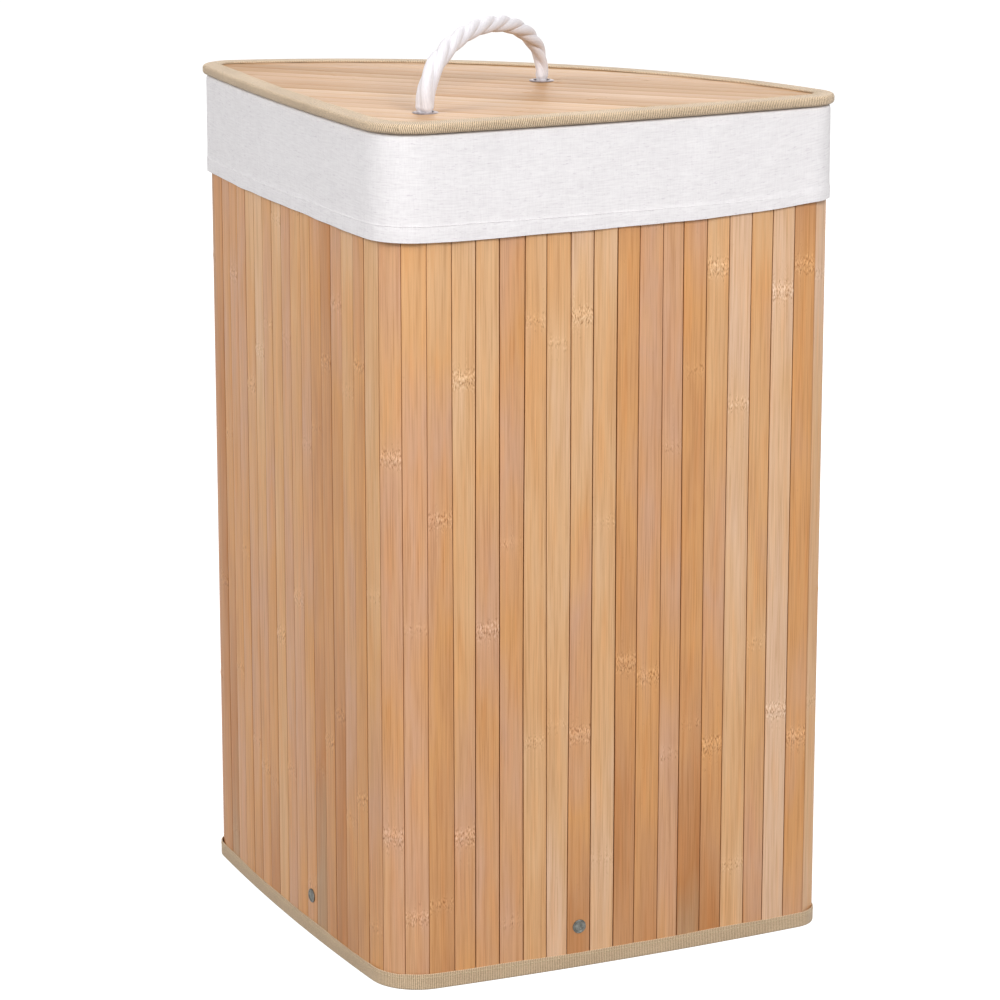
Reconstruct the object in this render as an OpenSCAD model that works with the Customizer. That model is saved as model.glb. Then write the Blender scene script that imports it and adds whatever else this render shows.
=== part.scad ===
// Corner laundry hamper: a bamboo slat wall, a cotton liner bag turned over its rim,
// a snapped-in base board and a lift-off bamboo lid with a rope handle.
// The back corner, which goes into the corner of a room, points to +Y; the bowed front faces -Y.

/* [Body] */
// Length of each straight side, between the corners before they are rounded
side_length = 340.5; // [300:0.5:420]
// How far the middle of each straight side stands out from a straight line
side_bow = 6; // [2:0.5:12]
// How far the middle of the curved front stands out from a straight line
front_bow = 73; // [50:1:100]
// Radius of the rounded back corner
back_radius = 35; // [28:1:55]
// Radius of the two rounded side corners
side_radius = 20; // [17:1:32]
// Height from the floor to the top of the lid
total_height = 600; // [420:5:720]

/* [Bamboo wall] */
// Width aimed at for one slat and its seam; a whole number of slats goes round the wall
slat_pitch = 17.25; // [14:0.25:22]
// Thickness of a wall slat
slat_thick = 3; // [2:0.25:4]
// Open seam between two slats
slat_gap = 0.4; // [0.2:0.1:1]
// Distance along the wall from the middle of the back corner to the nearest seam
seam_shift = 4; // [0:0.5:8]
// Thickness of the cloth that the slats are glued to
backing_thick = 0.6; // [0.3:0.1:1]
// Width of the cloth strip that joins the two ends of the slat mat
joint_width = 30; // [20:1:50]

/* [Edge tapes] */
// Thickness of the webbing tape folded over the wall's two edges
tape_thick = 0.8; // [0.5:0.1:1.2]
// Height of that tape on each face of the wall
tape_height = 11.5; // [8:0.5:16]

/* [Liner bag] */
// Thickness of the cotton of the liner bag
liner_thick = 1; // [0.6:0.1:1.5]
// Thickness of the doubled cotton of the turned-over cuff
cuff_thick = 1.5; // [1:0.1:2.5]
// How far the cuff reaches down from its top
cuff_height = 71; // [40:1:120]
// Height of the cuff's hem
hem_height = 10.5; // [6:0.5:16]
// How far the hem stands out from the cuff
hem_thick = 0.5; // [0.3:0.1:1]

/* [Lid] */
// How far the lid stands out past the slats of the wall
lid_overhang = 4.2; // [3.8:0.1:10]
// Thickness of a lid slat
lid_slat_thick = 3.6; // [2.5:0.1:5]
// Thickness of the lid's backing cloth
lid_backing_thick = 0.8; // [0.4:0.1:1.5]
// Thickness of the tape folded over the lid's edge
lid_tape_thick = 1.1; // [0.6:0.1:1.5]
// Width of that tape on each face of the lid
lid_tape_width = 14; // [7:0.5:18]

/* [Rope handle] */
// Diameter of the twisted rope
rope_diameter = 11.5; // [9:0.5:14]
// Distance between the two eyelets
handle_span = 171; // [140:1:190]
// Distance from the back corner, before it is rounded, to the nearer eyelet
handle_setback = 69; // [60:1:80]
// Turn of the handle away from the lid's middle line
handle_turn = 7.5; // [0:0.5:12]
// Height of the rope's middle line above the lid, at the top of the handle
handle_rise = 47.5; // [40:0.5:70]
// Diameter of an eyelet's flange
eyelet_flange = 17.5; // [16:0.5:24]
// Thickness of an eyelet's flange and of its washer
eyelet_thick = 0.8; // [0.5:0.1:1.5]
// Wall of an eyelet's barrel
eyelet_wall = 0.6; // [0.4:0.1:1]
// Diameter of the stopper knots under the lid
knot_diameter = 20; // [18:0.5:26]
// Height of a stopper knot
knot_height = 14; // [10:0.5:17]
// Length of the rope's tail below its knot
rope_tail = 8; // [4:0.5:15]

/* [Base board] */
// Thickness of the base board
board_thick = 5; // [3:0.5:8]
// Height of the underside of the base board's edge tape above the floor
board_lift = 1; // [0.5:0.5:6]
// Width of the board's edge tape on each face
board_tape_width = 9; // [6:0.5:14]

/* [Snaps and tabs] */
// Distance along the wall from the middle of the back corner to a side snap
snap_from_corner = 129; // [100:1:180]
// Height of the snaps above the floor
snap_height = 30; // [26:1:60]
// Diameter of a snap's cap, stud and socket
snap_diameter = 10; // [8:0.5:12]
// Thickness of a snap's cap
cap_thick = 1.2; // [0.8:0.1:2]
// Diameter of the cap's post through the wall
post_diameter = 2.4; // [2:0.1:3]
// Thickness of the thin discs of a snap
disc_thick = 0.6; // [0.4:0.1:1]
// Diameter of a stud's head
stud_diameter = 4.6; // [4:0.1:5.5]
// Height of a stud's head
stud_height = 1.7; // [1.2:0.1:2.5]
// Width of a webbing tab
tab_width = 20; // [14:1:30]
// Thickness of a webbing tab
tab_thick = 1; // [0.6:0.1:1.5]
// Length of a tab's leg on the base board
tab_reach = 35; // [20:1:60]
// How far a tab rises above its snap
tab_above = 10; // [7:1:20]

/* [Fits] */
// Gap between cloth pieces that come apart
cloth_gap = 0.3; // [0.2:0.05:0.6]
// Gap round a pin or a rope in its hole
hole_gap = 0.2; // [0.1:0.05:0.4]

/* [Hidden] */
$fn = 48;

// Colours
golden = "#d9a066";
tan_tape = "#b59f78";
white_cotton = "#e9e6ec";
cream_cloth = "#d8ccb4";
steel = "#8f9396";
board_brown = "#b08a60";

// ---- plan of the wall: three bowed sides and three rounded corners, as seven arcs ----
half_angle = 45;
reach = side_length * cos(half_angle);
half_width = side_length * sin(half_angle);
side_curve = (side_length * side_length / 4 + side_bow * side_bow) / (2 * side_bow);
front_curve = (half_width * half_width + front_bow * front_bow) / (2 * front_bow);
side_drop = side_curve - side_bow;

// Centres of the arcs, from the back corner before it is rounded
left_mid = [-half_width / 2, -reach / 2];
left_hub = left_mid + side_drop * [cos(half_angle), -sin(half_angle)];
front_hub = [0, front_curve - front_bow - reach];
back_hub = [0, left_hub.y + sqrt(pow(side_curve - back_radius, 2) - pow(left_hub.x, 2))];
corner_hub = crossing(left_hub, side_curve - side_radius, front_hub, front_curve - side_radius);

// Where two circles cross, on the left of the line from the first centre to the second
function crossing(p, r, q, s) =
    let(d = norm(q - p), a = (r * r - s * s + d * d) / (2 * d), h = sqrt(r * r - a * a), u = (q - p) / d)
    p + a * u + h * [-u.y, u.x];
function bearing(p, q) = (atan2(q.y - p.y, q.x - p.x) + 360) % 360;
function flipped(p) = [-p.x, p.y];

turn_1 = bearing(left_hub, back_hub);
turn_2 = bearing(left_hub, corner_hub);
turn_3 = bearing(front_hub, corner_hub);

// The whole plan is centred on its own box
back_end = back_hub.y + back_radius;
front_end = front_hub.y - front_curve;
centre = [0, (back_end + front_end) / 2];
back_vertex = -centre;

// [hub, radius, first angle, last angle], anticlockwise from the middle of the back corner
arcs = [
    [back_hub, back_radius, 90, turn_1],
    [left_hub, side_curve, turn_1, turn_2],
    [corner_hub, side_radius, turn_2, turn_3],
    [front_hub, front_curve, turn_3, 540 - turn_3],
    [flipped(corner_hub), side_radius, 540 - turn_3, 540 - turn_2],
    [flipped(left_hub), side_curve, 540 - turn_2, 540 - turn_1],
    [back_hub, back_radius, 540 - turn_1, 450]
];
function arc_length(a) = a[1] * (a[3] - a[2]) * PI / 180;
function run_to(k) = k == 0 ? 0 : run_to(k - 1) + arc_length(arcs[k - 1]);
starts = [for (k = [0 : len(arcs)]) run_to(k)];
around = starts[len(arcs)];
function wrapped(s) = s - around * floor(s / around);
function arc_index(s) = max([for (k = [0 : len(arcs) - 1]) if (starts[k] <= wrapped(s)) k]);

// The point a distance s along the wall, moved outward by off
function place(s, off) =
    let(k = arc_index(s), a = arcs[k], angle = a[2] + (wrapped(s) - starts[k]) / a[1] * 180 / PI)
    a[0] + (a[1] + off) * [cos(angle), sin(angle)] - centre;

// Smooth outline, moved outward by off
outline_step = [4, 20, 4, 16, 4, 20, 4];
function outline(off) = [
    for (k = [0 : len(arcs) - 1])
        let(a = arcs[k], n = max(2, ceil(arc_length(a) / outline_step[k])))
        for (i = [0 : n - 1])
            let(angle = a[2] + (a[3] - a[2]) * i / n)
            a[0] + (a[1] + off) * [cos(angle), sin(angle)] - centre
];

// Outline with a corner at each seam, as flat slats make it
slat_count = round(around / slat_pitch);
pitch = around / slat_count;
function seam(i) = seam_shift + i * pitch;
function seam_outline(off) = [for (i = [0 : slat_count - 1]) place(seam(i), off)];

// ---- heights and offsets that follow from the sizes ----
wall_thick = slat_thick + backing_thick;
lid_thick = lid_slat_thick + lid_backing_thick + 2 * lid_tape_thick;
lid_bottom = total_height - lid_thick;
lid_panel_bottom = lid_bottom + lid_tape_thick;
lid_slat_bottom = lid_panel_bottom + lid_backing_thick;
lid_panel_top = lid_slat_bottom + lid_slat_thick;
cuff_top = lid_bottom - cloth_gap;
cuff_bottom = cuff_top - cuff_height;
fold_bottom = cuff_top - cuff_thick;
rim_top = fold_bottom - cloth_gap;
slat_top = rim_top - tape_thick;
slat_bottom = tape_thick;
cuff_inside = tape_thick + cloth_gap;
cuff_outside = cuff_inside + cuff_thick;

board_edge = -wall_thick - tape_thick - cloth_gap;
board_bottom = board_lift + tape_thick;
board_top = board_bottom + board_thick;
tab_face = -wall_thick - disc_thick - stud_height - hole_gap / 2;
snap_depth = -tab_face + tab_thick + disc_thick;
liner_outside = -snap_depth - cloth_gap;
liner_bottom = board_top + tab_thick + cloth_gap;

// Slats that carry the snaps: one in each side and one in the middle of the front
function slat_at(s) = floor((wrapped(s) - seam_shift) / pitch);
snap_slats = [slat_at(snap_from_corner), slat_at(around / 2), slat_at(-snap_from_corner)];

eyelet_bore = rope_diameter - 0.5;
eyelet_outside = eyelet_bore + 2 * eyelet_wall;
handle_way = [sin(handle_turn), cos(handle_turn)];
handle_start = back_vertex - [0, handle_setback];
eyelet_places = [for (k = [0, 1]) handle_start - k * handle_span * handle_way];
handle_middle = handle_start - handle_span / 2 * handle_way;
rope_radius = rope_diameter / 2;
pivot_height = total_height + cloth_gap + rope_radius;
washer_bottom = lid_panel_bottom - eyelet_thick;
lid_edge = lid_overhang - lid_tape_thick;
lid_slat_count = round((back_end - front_end + 2 * lid_edge) / slat_pitch);

// ---- shapes used by several pieces ----
module prism(points, bottom, top) {
    translate([0, 0, bottom]) linear_extrude(top - bottom) polygon(points);
}

module band(outer, inner, bottom, top) {
    translate([0, 0, bottom]) linear_extrude(top - bottom) difference() {
        polygon(outer);
        polygon(inner);
    }
}

function moved(p, q, d) = p + d * (q - p) / norm(q - p);

// Flat slat between two seams, a little narrower than its chord
function slat_plan(i) =
    let(a = place(seam(i), 0), b = place(seam(i + 1), 0))
    let(c = place(seam(i), -slat_thick), d = place(seam(i + 1), -slat_thick), g = slat_gap / 2)
    [moved(a, b, g), moved(b, a, g), moved(d, c, g), moved(c, d, g)];

// Puts its children at each snap: +X out of the wall, +Z up, origin on the slat's outer face
module at_snaps() {
    for (i = snap_slats) {
        a = place(seam(i), 0);
        b = place(seam(i + 1), 0);
        translate([(a.x + b.x) / 2, (a.y + b.y) / 2, 0]) rotate([0, 0, bearing(a, b) - 90]) children();
    }
}

// A disc or pin of a snap, from one depth to another along the way out of the wall
module snap_disc(diameter, from, to) {
    translate([from, 0, snap_height]) rotate([0, 90, 0]) cylinder(d = diameter, h = to - from);
}

module at_eyelets() {
    for (p = eyelet_places) translate([p.x, p.y, 0]) children();
}

// ---- bamboo wall ----
// The slats whose middles lie on the given arcs of the plan, drilled for the snap posts
module slats(on) {
    color(golden) difference() {
        for (i = [0 : slat_count - 1])
            if (len(search(arc_index(seam(i + 0.5)), on)) > 0) prism(slat_plan(i), slat_bottom, slat_top);
        at_snaps() snap_disc(post_diameter + hole_gap, -slat_thick - 1, 1);
    }
}

module slats_back_corner() { slats([0, 6]); }
module slats_left_side() { slats([1]); }
module slats_left_corner() { slats([2]); }
module slats_front() { slats([3]); }
module slats_right_corner() { slats([4]); }
module slats_right_side() { slats([5]); }

module wall_backing() {
    color(cream_cloth) difference() {
        band(seam_outline(-slat_thick), seam_outline(-wall_thick), slat_bottom, slat_top);
        at_snaps() snap_disc(post_diameter + hole_gap, -wall_thick - 1, 0);
    }
}

// Strip inside the front, near its left corner, where the two ends of the mat meet
module mat_joint_strip() {
    joint = slat_at(starts[3]) + 2;
    from = seam(joint) - joint_width / 2;
    to = seam(joint) + joint_width / 2;
    along = [from, seam(joint), to];
    bottom = tape_height + cloth_gap;
    top = slat_top + tape_thick - tape_height - cloth_gap;
    color(tan_tape) intersection() {
        band(seam_outline(-wall_thick), seam_outline(-wall_thick - backing_thick), bottom, top);
        prism([for (s = along) place(s, 0), for (s = [to, from]) place(s, -2 * wall_thick)], bottom, top);
    }
}

// Tape folded over an edge of the wall: outer leg, inner leg and the fold between them
module edge_tape(leg_bottom, leg_top, fold_from) {
    outer = outline(tape_thick);
    inner = seam_outline(-wall_thick - tape_thick);
    band(outer, seam_outline(0), leg_bottom, leg_top);
    band(seam_outline(-wall_thick), inner, leg_bottom, leg_top);
    band(outer, inner, fold_from, fold_from + tape_thick);
}

module base_binding() {
    color(tan_tape) union() edge_tape(slat_bottom, tape_height, 0);
}

module rim_binding() {
    color(tan_tape) union() edge_tape(rim_top - tape_height, slat_top, slat_top);
}

// ---- base board and its snaps ----
module base_board() {
    color(board_brown) prism(seam_outline(board_edge - tape_thick), board_bottom, board_top);
}

module board_edge_tape() {
    outer = seam_outline(board_edge);
    inner = seam_outline(board_edge - board_tape_width);
    color(tan_tape) difference() {
        union() {
            band(outer, inner, board_lift, board_bottom);
            band(outer, seam_outline(board_edge - tape_thick), board_bottom, board_top);
            band(outer, inner, board_top, board_top + tape_thick);
        }
        at_snaps() translate([-tab_reach, -tab_width / 2 - cloth_gap, board_top])
            cube([tab_reach + wall_thick, tab_width + 2 * cloth_gap, tab_thick + 1]);
    }
}

// L-shaped tabs sewn to the board and snapped to the wall
module base_tabs() {
    color(cream_cloth) difference() {
        at_snaps() {
            translate([tab_face - tab_reach, -tab_width / 2, board_top])
                cube([tab_reach, tab_width, tab_thick]);
            translate([tab_face - tab_thick, -tab_width / 2, board_top])
                cube([tab_thick, tab_width, snap_height + tab_above - board_top]);
        }
        at_snaps() snap_disc(post_diameter + hole_gap, tab_face - tab_thick - 1, tab_face + 1);
    }
}

module snap_caps() {
    color(steel) at_snaps() {
        snap_disc(post_diameter, -wall_thick, 0);
        snap_disc(snap_diameter, 0, cap_thick / 2);
        translate([cap_thick / 2, 0, snap_height]) rotate([0, 90, 0])
            cylinder(d1 = snap_diameter, d2 = snap_diameter - 2 * cap_thick, h = cap_thick / 2);
    }
}

module snap_studs() {
    color(steel) at_snaps() {
        snap_disc(snap_diameter, -wall_thick - disc_thick, -wall_thick);
        snap_disc(stud_diameter, -wall_thick - disc_thick - stud_height, -wall_thick - disc_thick);
    }
}

module snap_sockets() {
    color(steel) difference() {
        at_snaps() snap_disc(snap_diameter, tab_face, -wall_thick - disc_thick - hole_gap);
        at_snaps() snap_disc(stud_diameter + hole_gap, tab_face - 1, 0);
    }
}

module socket_rivets() {
    color(steel) at_snaps() {
        snap_disc(snap_diameter, tab_face - tab_thick - disc_thick, tab_face - tab_thick);
        snap_disc(post_diameter, tab_face - tab_thick, tab_face);
    }
}

// ---- liner bag ----
module liner_wall() {
    color(white_cotton)
        band(seam_outline(liner_outside), seam_outline(liner_outside - liner_thick),
             liner_bottom + liner_thick, fold_bottom);
}

module liner_floor() {
    color(white_cotton) prism(seam_outline(liner_outside), liner_bottom, liner_bottom + liner_thick);
}

// The liner's top turned over the rim and down outside the wall, with its hem
module liner_cuff() {
    color(white_cotton) {
        band(outline(cuff_outside), seam_outline(liner_outside - liner_thick), fold_bottom, cuff_top);
        band(outline(cuff_outside), outline(cuff_inside), cuff_bottom, fold_bottom);
        band(outline(cuff_outside + hem_thick), outline(cuff_outside), cuff_bottom, cuff_bottom + hem_height);
    }
}

// ---- lid ----
// Slats that run from side corner to side corner, cut to the lid's outline and drilled
module lid_slats() {
    depth = back_end - front_end + 2 * lid_edge;
    lid_pitch = depth / lid_slat_count;
    color(golden) difference() {
        for (i = [0 : lid_slat_count - 1]) intersection() {
            prism(outline(lid_edge), lid_slat_bottom, lid_panel_top);
            translate([-side_length, i * lid_pitch - depth / 2 + slat_gap / 2, lid_slat_bottom - 1])
                cube([2 * side_length, lid_pitch - slat_gap, lid_slat_thick + 2]);
        }
        at_eyelets() translate([0, 0, lid_slat_bottom - 1])
            cylinder(d = eyelet_outside + hole_gap, h = lid_slat_thick + 2);
    }
}

module lid_backing() {
    color(cream_cloth) difference() {
        prism(outline(lid_edge), lid_panel_bottom, lid_slat_bottom);
        at_eyelets() translate([0, 0, lid_panel_bottom - 1])
            cylinder(d = eyelet_outside + hole_gap, h = lid_backing_thick + 2);
    }
}

module lid_binding() {
    outer = outline(lid_overhang);
    inner = outline(lid_overhang - lid_tape_width);
    color(tan_tape) union() {
        band(outer, inner, lid_bottom, lid_panel_bottom);
        band(outer, outline(lid_edge), lid_panel_bottom, lid_panel_top);
        band(outer, inner, lid_panel_top, total_height);
    }
}

module eyelets() {
    color(steel) at_eyelets() difference() {
        union() {
            translate([0, 0, washer_bottom])
                cylinder(d = eyelet_outside, h = lid_panel_top - washer_bottom);
            translate([0, 0, lid_panel_top])
                cylinder(d1 = eyelet_flange, d2 = eyelet_outside + eyelet_wall, h = eyelet_thick);
        }
        translate([0, 0, washer_bottom - 1]) cylinder(d = eyelet_bore, h = total_height - washer_bottom + 2);
    }
}

module eyelet_washers() {
    color(steel) at_eyelets() difference() {
        translate([0, 0, washer_bottom]) cylinder(d = eyelet_flange, h = eyelet_thick);
        translate([0, 0, washer_bottom - 1]) cylinder(d = eyelet_outside + hole_gap, h = eyelet_thick + 2);
    }
}

// ---- rope ----
// The rope where the lid grips it, inside the eyelets
module rope_ends() {
    color(white_cotton) at_eyelets() translate([0, 0, washer_bottom])
        cylinder(d = eyelet_bore - 2 * hole_gap, h = total_height - washer_bottom);
}

module rope_knots() {
    color(white_cotton) at_eyelets() {
        translate([0, 0, washer_bottom - knot_height / 2]) intersection() {
            sphere(d = knot_diameter);
            cube([knot_diameter, knot_diameter, knot_height], center = true);
        }
        translate([0, 0, washer_bottom - knot_height - rope_tail])
            cylinder(d = eyelet_bore - 2 * hole_gap, h = rope_tail);
    }
}

// Rings of the handle: [y, z, tilt, radius]. Each end is rounded about the line it bends on.
sweep_sides = 12;
cap_steps = [80, 60, 40, 20];
arch_steps = 24;
arch_height = total_height + handle_rise - pivot_height;
handle_rings = concat(
    [for (c = cap_steps) [handle_span / 2, -rope_radius * sin(c), 0, rope_radius * cos(c)]],
    [for (i = [0 : arch_steps])
        let(t = 180 * i / arch_steps, y = handle_span / 2 * cos(t), z = arch_height * sin(t))
        [y, z, atan2(handle_span / 2 * sin(t), arch_height * cos(t)), rope_radius]],
    [for (i = [len(cap_steps) - 1 : -1 : 0])
        let(c = cap_steps[i])
        [-handle_span / 2, -rope_radius * sin(c), 180, rope_radius * cos(c)]]
);
function ring_points(r) = [
    for (k = [0 : sweep_sides - 1])
        let(a = 360 * k / sweep_sides, across = r[3] * sin(a))
        [r[3] * cos(a), r[0] + across * cos(r[2]), r[1] + across * sin(r[2])]
];

module rope_handle() {
    rings = len(handle_rings);
    points = [for (r = handle_rings) each ring_points(r)];
    sides = [
        for (j = [0 : rings - 2]) for (k = [0 : sweep_sides - 1])
            let(a = j * sweep_sides + k, b = j * sweep_sides + (k + 1) % sweep_sides)
            each [[a, a + sweep_sides, b], [b, a + sweep_sides, b + sweep_sides]]
    ];
    first = [for (k = [0 : sweep_sides - 1]) k];
    last = [for (k = [sweep_sides - 1 : -1 : 0]) (rings - 1) * sweep_sides + k];
    color(white_cotton) translate([handle_middle.x, handle_middle.y, pivot_height])
        rotate([0, 0, -handle_turn]) polyhedron(points, concat(sides, [first, last]));
}

slats_back_corner();
slats_left_side();
slats_left_corner();
slats_front();
slats_right_corner();
slats_right_side();
wall_backing();
mat_joint_strip();
base_binding();
rim_binding();
base_board();
board_edge_tape();
base_tabs();
snap_caps();
snap_studs();
snap_sockets();
socket_rivets();
liner_wall();
liner_floor();
liner_cuff();
lid_slats();
lid_backing();
lid_binding();
eyelets();
eyelet_washers();
rope_ends();
rope_knots();
rope_handle();
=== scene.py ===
# %% [markdown]
# # A corner laundry hamper in bamboo, cotton and rope
# The hamper stands in the corner of a room. Its wall is a mat of thin bamboo slats glued to cloth, bent into
# two nearly straight sides and a bowed front. A cotton bag hangs inside and is turned down over the rim as a
# wide cuff, and a flat bamboo lid with a rope handle lies on top.
# The construction comes first, as a fixed frame of named solids and the bodies that they move with. Everything
# below only dresses that frame, so the first step loads it and keeps the box that it fills.

# %% Load the frame
import math
import bmesh
import bpy
import numpy as np
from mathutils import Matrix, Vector


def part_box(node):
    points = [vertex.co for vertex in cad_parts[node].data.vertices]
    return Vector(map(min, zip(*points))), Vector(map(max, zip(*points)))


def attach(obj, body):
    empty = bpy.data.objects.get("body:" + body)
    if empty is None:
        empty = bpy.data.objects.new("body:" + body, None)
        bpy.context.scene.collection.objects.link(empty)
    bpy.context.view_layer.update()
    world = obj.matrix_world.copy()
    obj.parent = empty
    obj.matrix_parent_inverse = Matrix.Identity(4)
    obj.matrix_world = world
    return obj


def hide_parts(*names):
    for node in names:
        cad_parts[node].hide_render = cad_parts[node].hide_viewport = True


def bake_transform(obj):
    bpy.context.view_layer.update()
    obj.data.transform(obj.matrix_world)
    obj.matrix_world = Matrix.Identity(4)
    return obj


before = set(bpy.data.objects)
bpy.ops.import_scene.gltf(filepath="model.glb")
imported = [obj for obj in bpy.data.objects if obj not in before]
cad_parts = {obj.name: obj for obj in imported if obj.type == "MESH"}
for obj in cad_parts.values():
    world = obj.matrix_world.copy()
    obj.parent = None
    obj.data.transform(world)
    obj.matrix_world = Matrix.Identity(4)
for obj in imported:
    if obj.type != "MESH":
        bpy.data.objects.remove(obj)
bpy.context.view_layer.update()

MM = 0.001

# %% [markdown]
# ## Camera, light and floor
# The camera stands behind the hamper and a little above it, so that the square back corner comes nearest and
# both straight sides show. A long lens from nearly 3 m away keeps the upright slats almost parallel. It could
# also be placed by eye, but a position and two angles are easier to read and to change.

# %% Camera
back_vertex = 0.1627
camera_place = Vector((-0.9305, 2.3504 + back_vertex, 0.9869))
camera_turn = math.radians(19.94)
camera_dip = math.radians(14.15)
look = Vector((math.sin(camera_turn) * math.cos(camera_dip),
               -math.cos(camera_turn) * math.cos(camera_dip), -math.sin(camera_dip)))
camera_data = bpy.data.cameras.new("camera")
camera_data.sensor_width = 36.0
camera_data.lens = 141.3
camera = bpy.data.objects.new("camera", camera_data)
camera.location = camera_place
camera.rotation_euler = look.to_track_quat("-Z", "Y").to_euler()
bpy.context.scene.collection.objects.link(camera)
bpy.context.scene.camera = camera
bpy.context.scene.view_settings.view_transform = "Standard"
print("camera is", round((camera_place - Vector((0, 0, 0.3))).length, 2), "m from the hamper")


# %% [markdown]
# A studio tent gives broad light with soft edges. Four large lamps stand in for it: a key on the side of the
# brighter wall, a weaker fill on the other side, a faint one overhead for the lid and a low one that lights
# the bowed front. The world adds an even pale light, so no side falls to black when the hamper is turned round.

# %% Lamps and world
def soft_lamp(name, place, aim, width, watts):
    """A square area lamp of a given width at a place, turned to shine on the point aim."""
    data = bpy.data.lights.new(name, "AREA")
    data.shape = "SQUARE"
    data.size = width
    data.energy = watts
    lamp = bpy.data.objects.new(name, data)
    lamp.location = place
    lamp.rotation_euler = (Vector(aim) - Vector(place)).to_track_quat("-Z", "Y").to_euler()
    bpy.context.scene.collection.objects.link(lamp)
    return lamp


soft_lamp("key", (-1.8, 1.45, 2.1), (0, 0, 0.5), 1.1, 49.5)
soft_lamp("fill", (1.5, 1.9, 2.2), (0, 0, 0.5), 1.3, 42.5)
soft_lamp("overhead", (0.0, 0.3, 2.2), (0, 0, 0.5), 1.4, 5)
soft_lamp("front_fill", (0.6, -3.0, 1.4), (0, 0, 0.3), 1.8, 26)


def add_node(tree, kind, settings=(), *values, **links):
    """Adds the node type ShaderNode + kind, gives it its settings, fills its inputs and returns it.

    settings are properties and input values by name, the (position, colour) stops of a ramp, or just the
    operation of a Math node. values go to the inputs that the node shows, in their order, and links to the
    inputs of those names. Each is a constant, an output, or a node, which stands for its first shown output.
    """
    node = tree.nodes.new("ShaderNode" + kind)
    settings = {"operation": settings} if isinstance(settings, str) else dict(settings)
    stops = settings.pop("stops", [])
    for _ in stops[2:]:
        node.color_ramp.elements.new(1.0)
    for i, (position, colour) in enumerate(stops):
        node.color_ramp.elements[i].position = position
        node.color_ramp.elements[i].color = colour
    for key, value in settings.items():
        if key in node.inputs:
            node.inputs[key].default_value = value
        else:
            setattr(node, key, value)
    shown = [socket for socket in node.inputs if socket.enabled]
    named = [(node.inputs[key.replace("_", " ")], value) for key, value in links.items()]
    for socket, value in [*zip(shown, values), *named]:
        if isinstance(value, bpy.types.Node):
            value = next(output for output in value.outputs if output.enabled)
        if isinstance(value, bpy.types.NodeSocket):
            tree.links.new(value, socket)
        else:
            socket.default_value = value
    return node


WHITE = (1.0, 1.0, 1.0, 1.0)
world = bpy.data.worlds.new("studio_air")
world.use_nodes = True
bpy.context.scene.world = world
air = world.node_tree
air.nodes.clear()
seen = add_node(air, "LightPath")
plain = add_node(air, "Background", {"Color": WHITE, "Strength": 0.39})
white = add_node(air, "Background", {"Color": WHITE, "Strength": 1.0})
direct = add_node(air, "Math", "MAXIMUM", seen.outputs["Is Camera Ray"], seen.outputs["Is Transmission Ray"])
add_node(air, "OutputWorld", (), add_node(air, "MixShader", (), direct, plain, white))


# %% [markdown]
# ## Colours
# Every colour is written as the hex value that a paint or web chart shows. A renderer works in linear light,
# so one function undoes the sRGB curve, and each material calls it.

# %% From a chart's hex value to linear light
def linear(code):
    """Linear RGBA from an sRGB hex code: c / 12.92 below 0.04045, else ((c + 0.055) / 1.055) ** 2.4."""
    values = [int(code[i:i + 2], 16) / 255 for i in (0, 2, 4)]
    return tuple(c / 12.92 if c <= 0.04045 else ((c + 0.055) / 1.055) ** 2.4 for c in values) + (1.0,)


print("a light bamboo in linear light:", [round(c, 3) for c in linear("e2b27a")])


# %% [markdown]
# A studio floor fades into a white background. Here it is a very large plane that takes real shadows, as matt
# paint does, and glows a little to the camera and in reflections only, so that it looks white without
# lighting the hamper from below.

# %% Floor
def new_material(name):
    """A material with an empty node tree; returns both."""
    material = bpy.data.materials.new(name)
    material.use_nodes = True
    material.node_tree.nodes.clear()
    return material, material.node_tree


floor_mesh = bpy.data.meshes.new("floor")
reach = 30.0
floor_mesh.from_pydata([(-reach, -reach, 0), (reach, -reach, 0), (reach, reach, 0), (-reach, reach, 0)],
                       [], [(0, 1, 2, 3)])
floor = bpy.data.objects.new("floor", floor_mesh)
bpy.context.scene.collection.objects.link(floor)
floor_paint, tree = new_material("matt_white_studio_floor")
path = add_node(tree, "LightPath")
matt = add_node(tree, "BsdfDiffuse", {"Color": linear("a4a4a4")})
glow = add_node(tree, "Emission", {"Color": WHITE, "Strength": 0.91})
lit = add_node(tree, "AddShader", (), matt, glow)
both = add_node(tree, "Math", "MAXIMUM", path.outputs["Is Camera Ray"], path.outputs["Is Glossy Ray"])
add_node(tree, "OutputMaterial", (), add_node(tree, "MixShader", (), both, matt, lit))
floor_mesh.materials.append(floor_paint)

# %% [markdown]
# ## The plan
# Seen from above, the hamper is a quarter-round wedge: three bowed sides joined by three rounded corners, so
# seven circular arcs in all. Any piece that follows the wall is a function of two numbers: how far along the wall,
# and how far out from it. That is simpler and more exact than a hand-drawn curve, because every layer from
# liner to lid tape is the same plan moved in or out.

# %% Seven arcs round the wall
side_length = 340.5 * MM
side_bow = 6 * MM
front_bow = 73 * MM
back_radius = 35 * MM
corner_radius = 20 * MM
half_width = side_length * math.sin(math.radians(45))
side_curve = (side_length ** 2 / 4 + side_bow ** 2) / (2 * side_bow)
front_curve = (half_width ** 2 + front_bow ** 2) / (2 * front_bow)


def crossing(p, r, q, s):
    """Where circle (p, r) meets circle (q, s), on the left of the way from p to q."""
    d = np.linalg.norm(q - p)
    a = (r * r - s * s + d * d) / (2 * d)
    u = (q - p) / d
    return p + a * u + math.sqrt(r * r - a * a) * np.array([-u[1], u[0]])


def bearing(p, q):
    """Direction from p to q in radians, from 0 to a full turn."""
    return math.atan2(q[1] - p[1], q[0] - p[0]) % (2 * math.pi)


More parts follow.
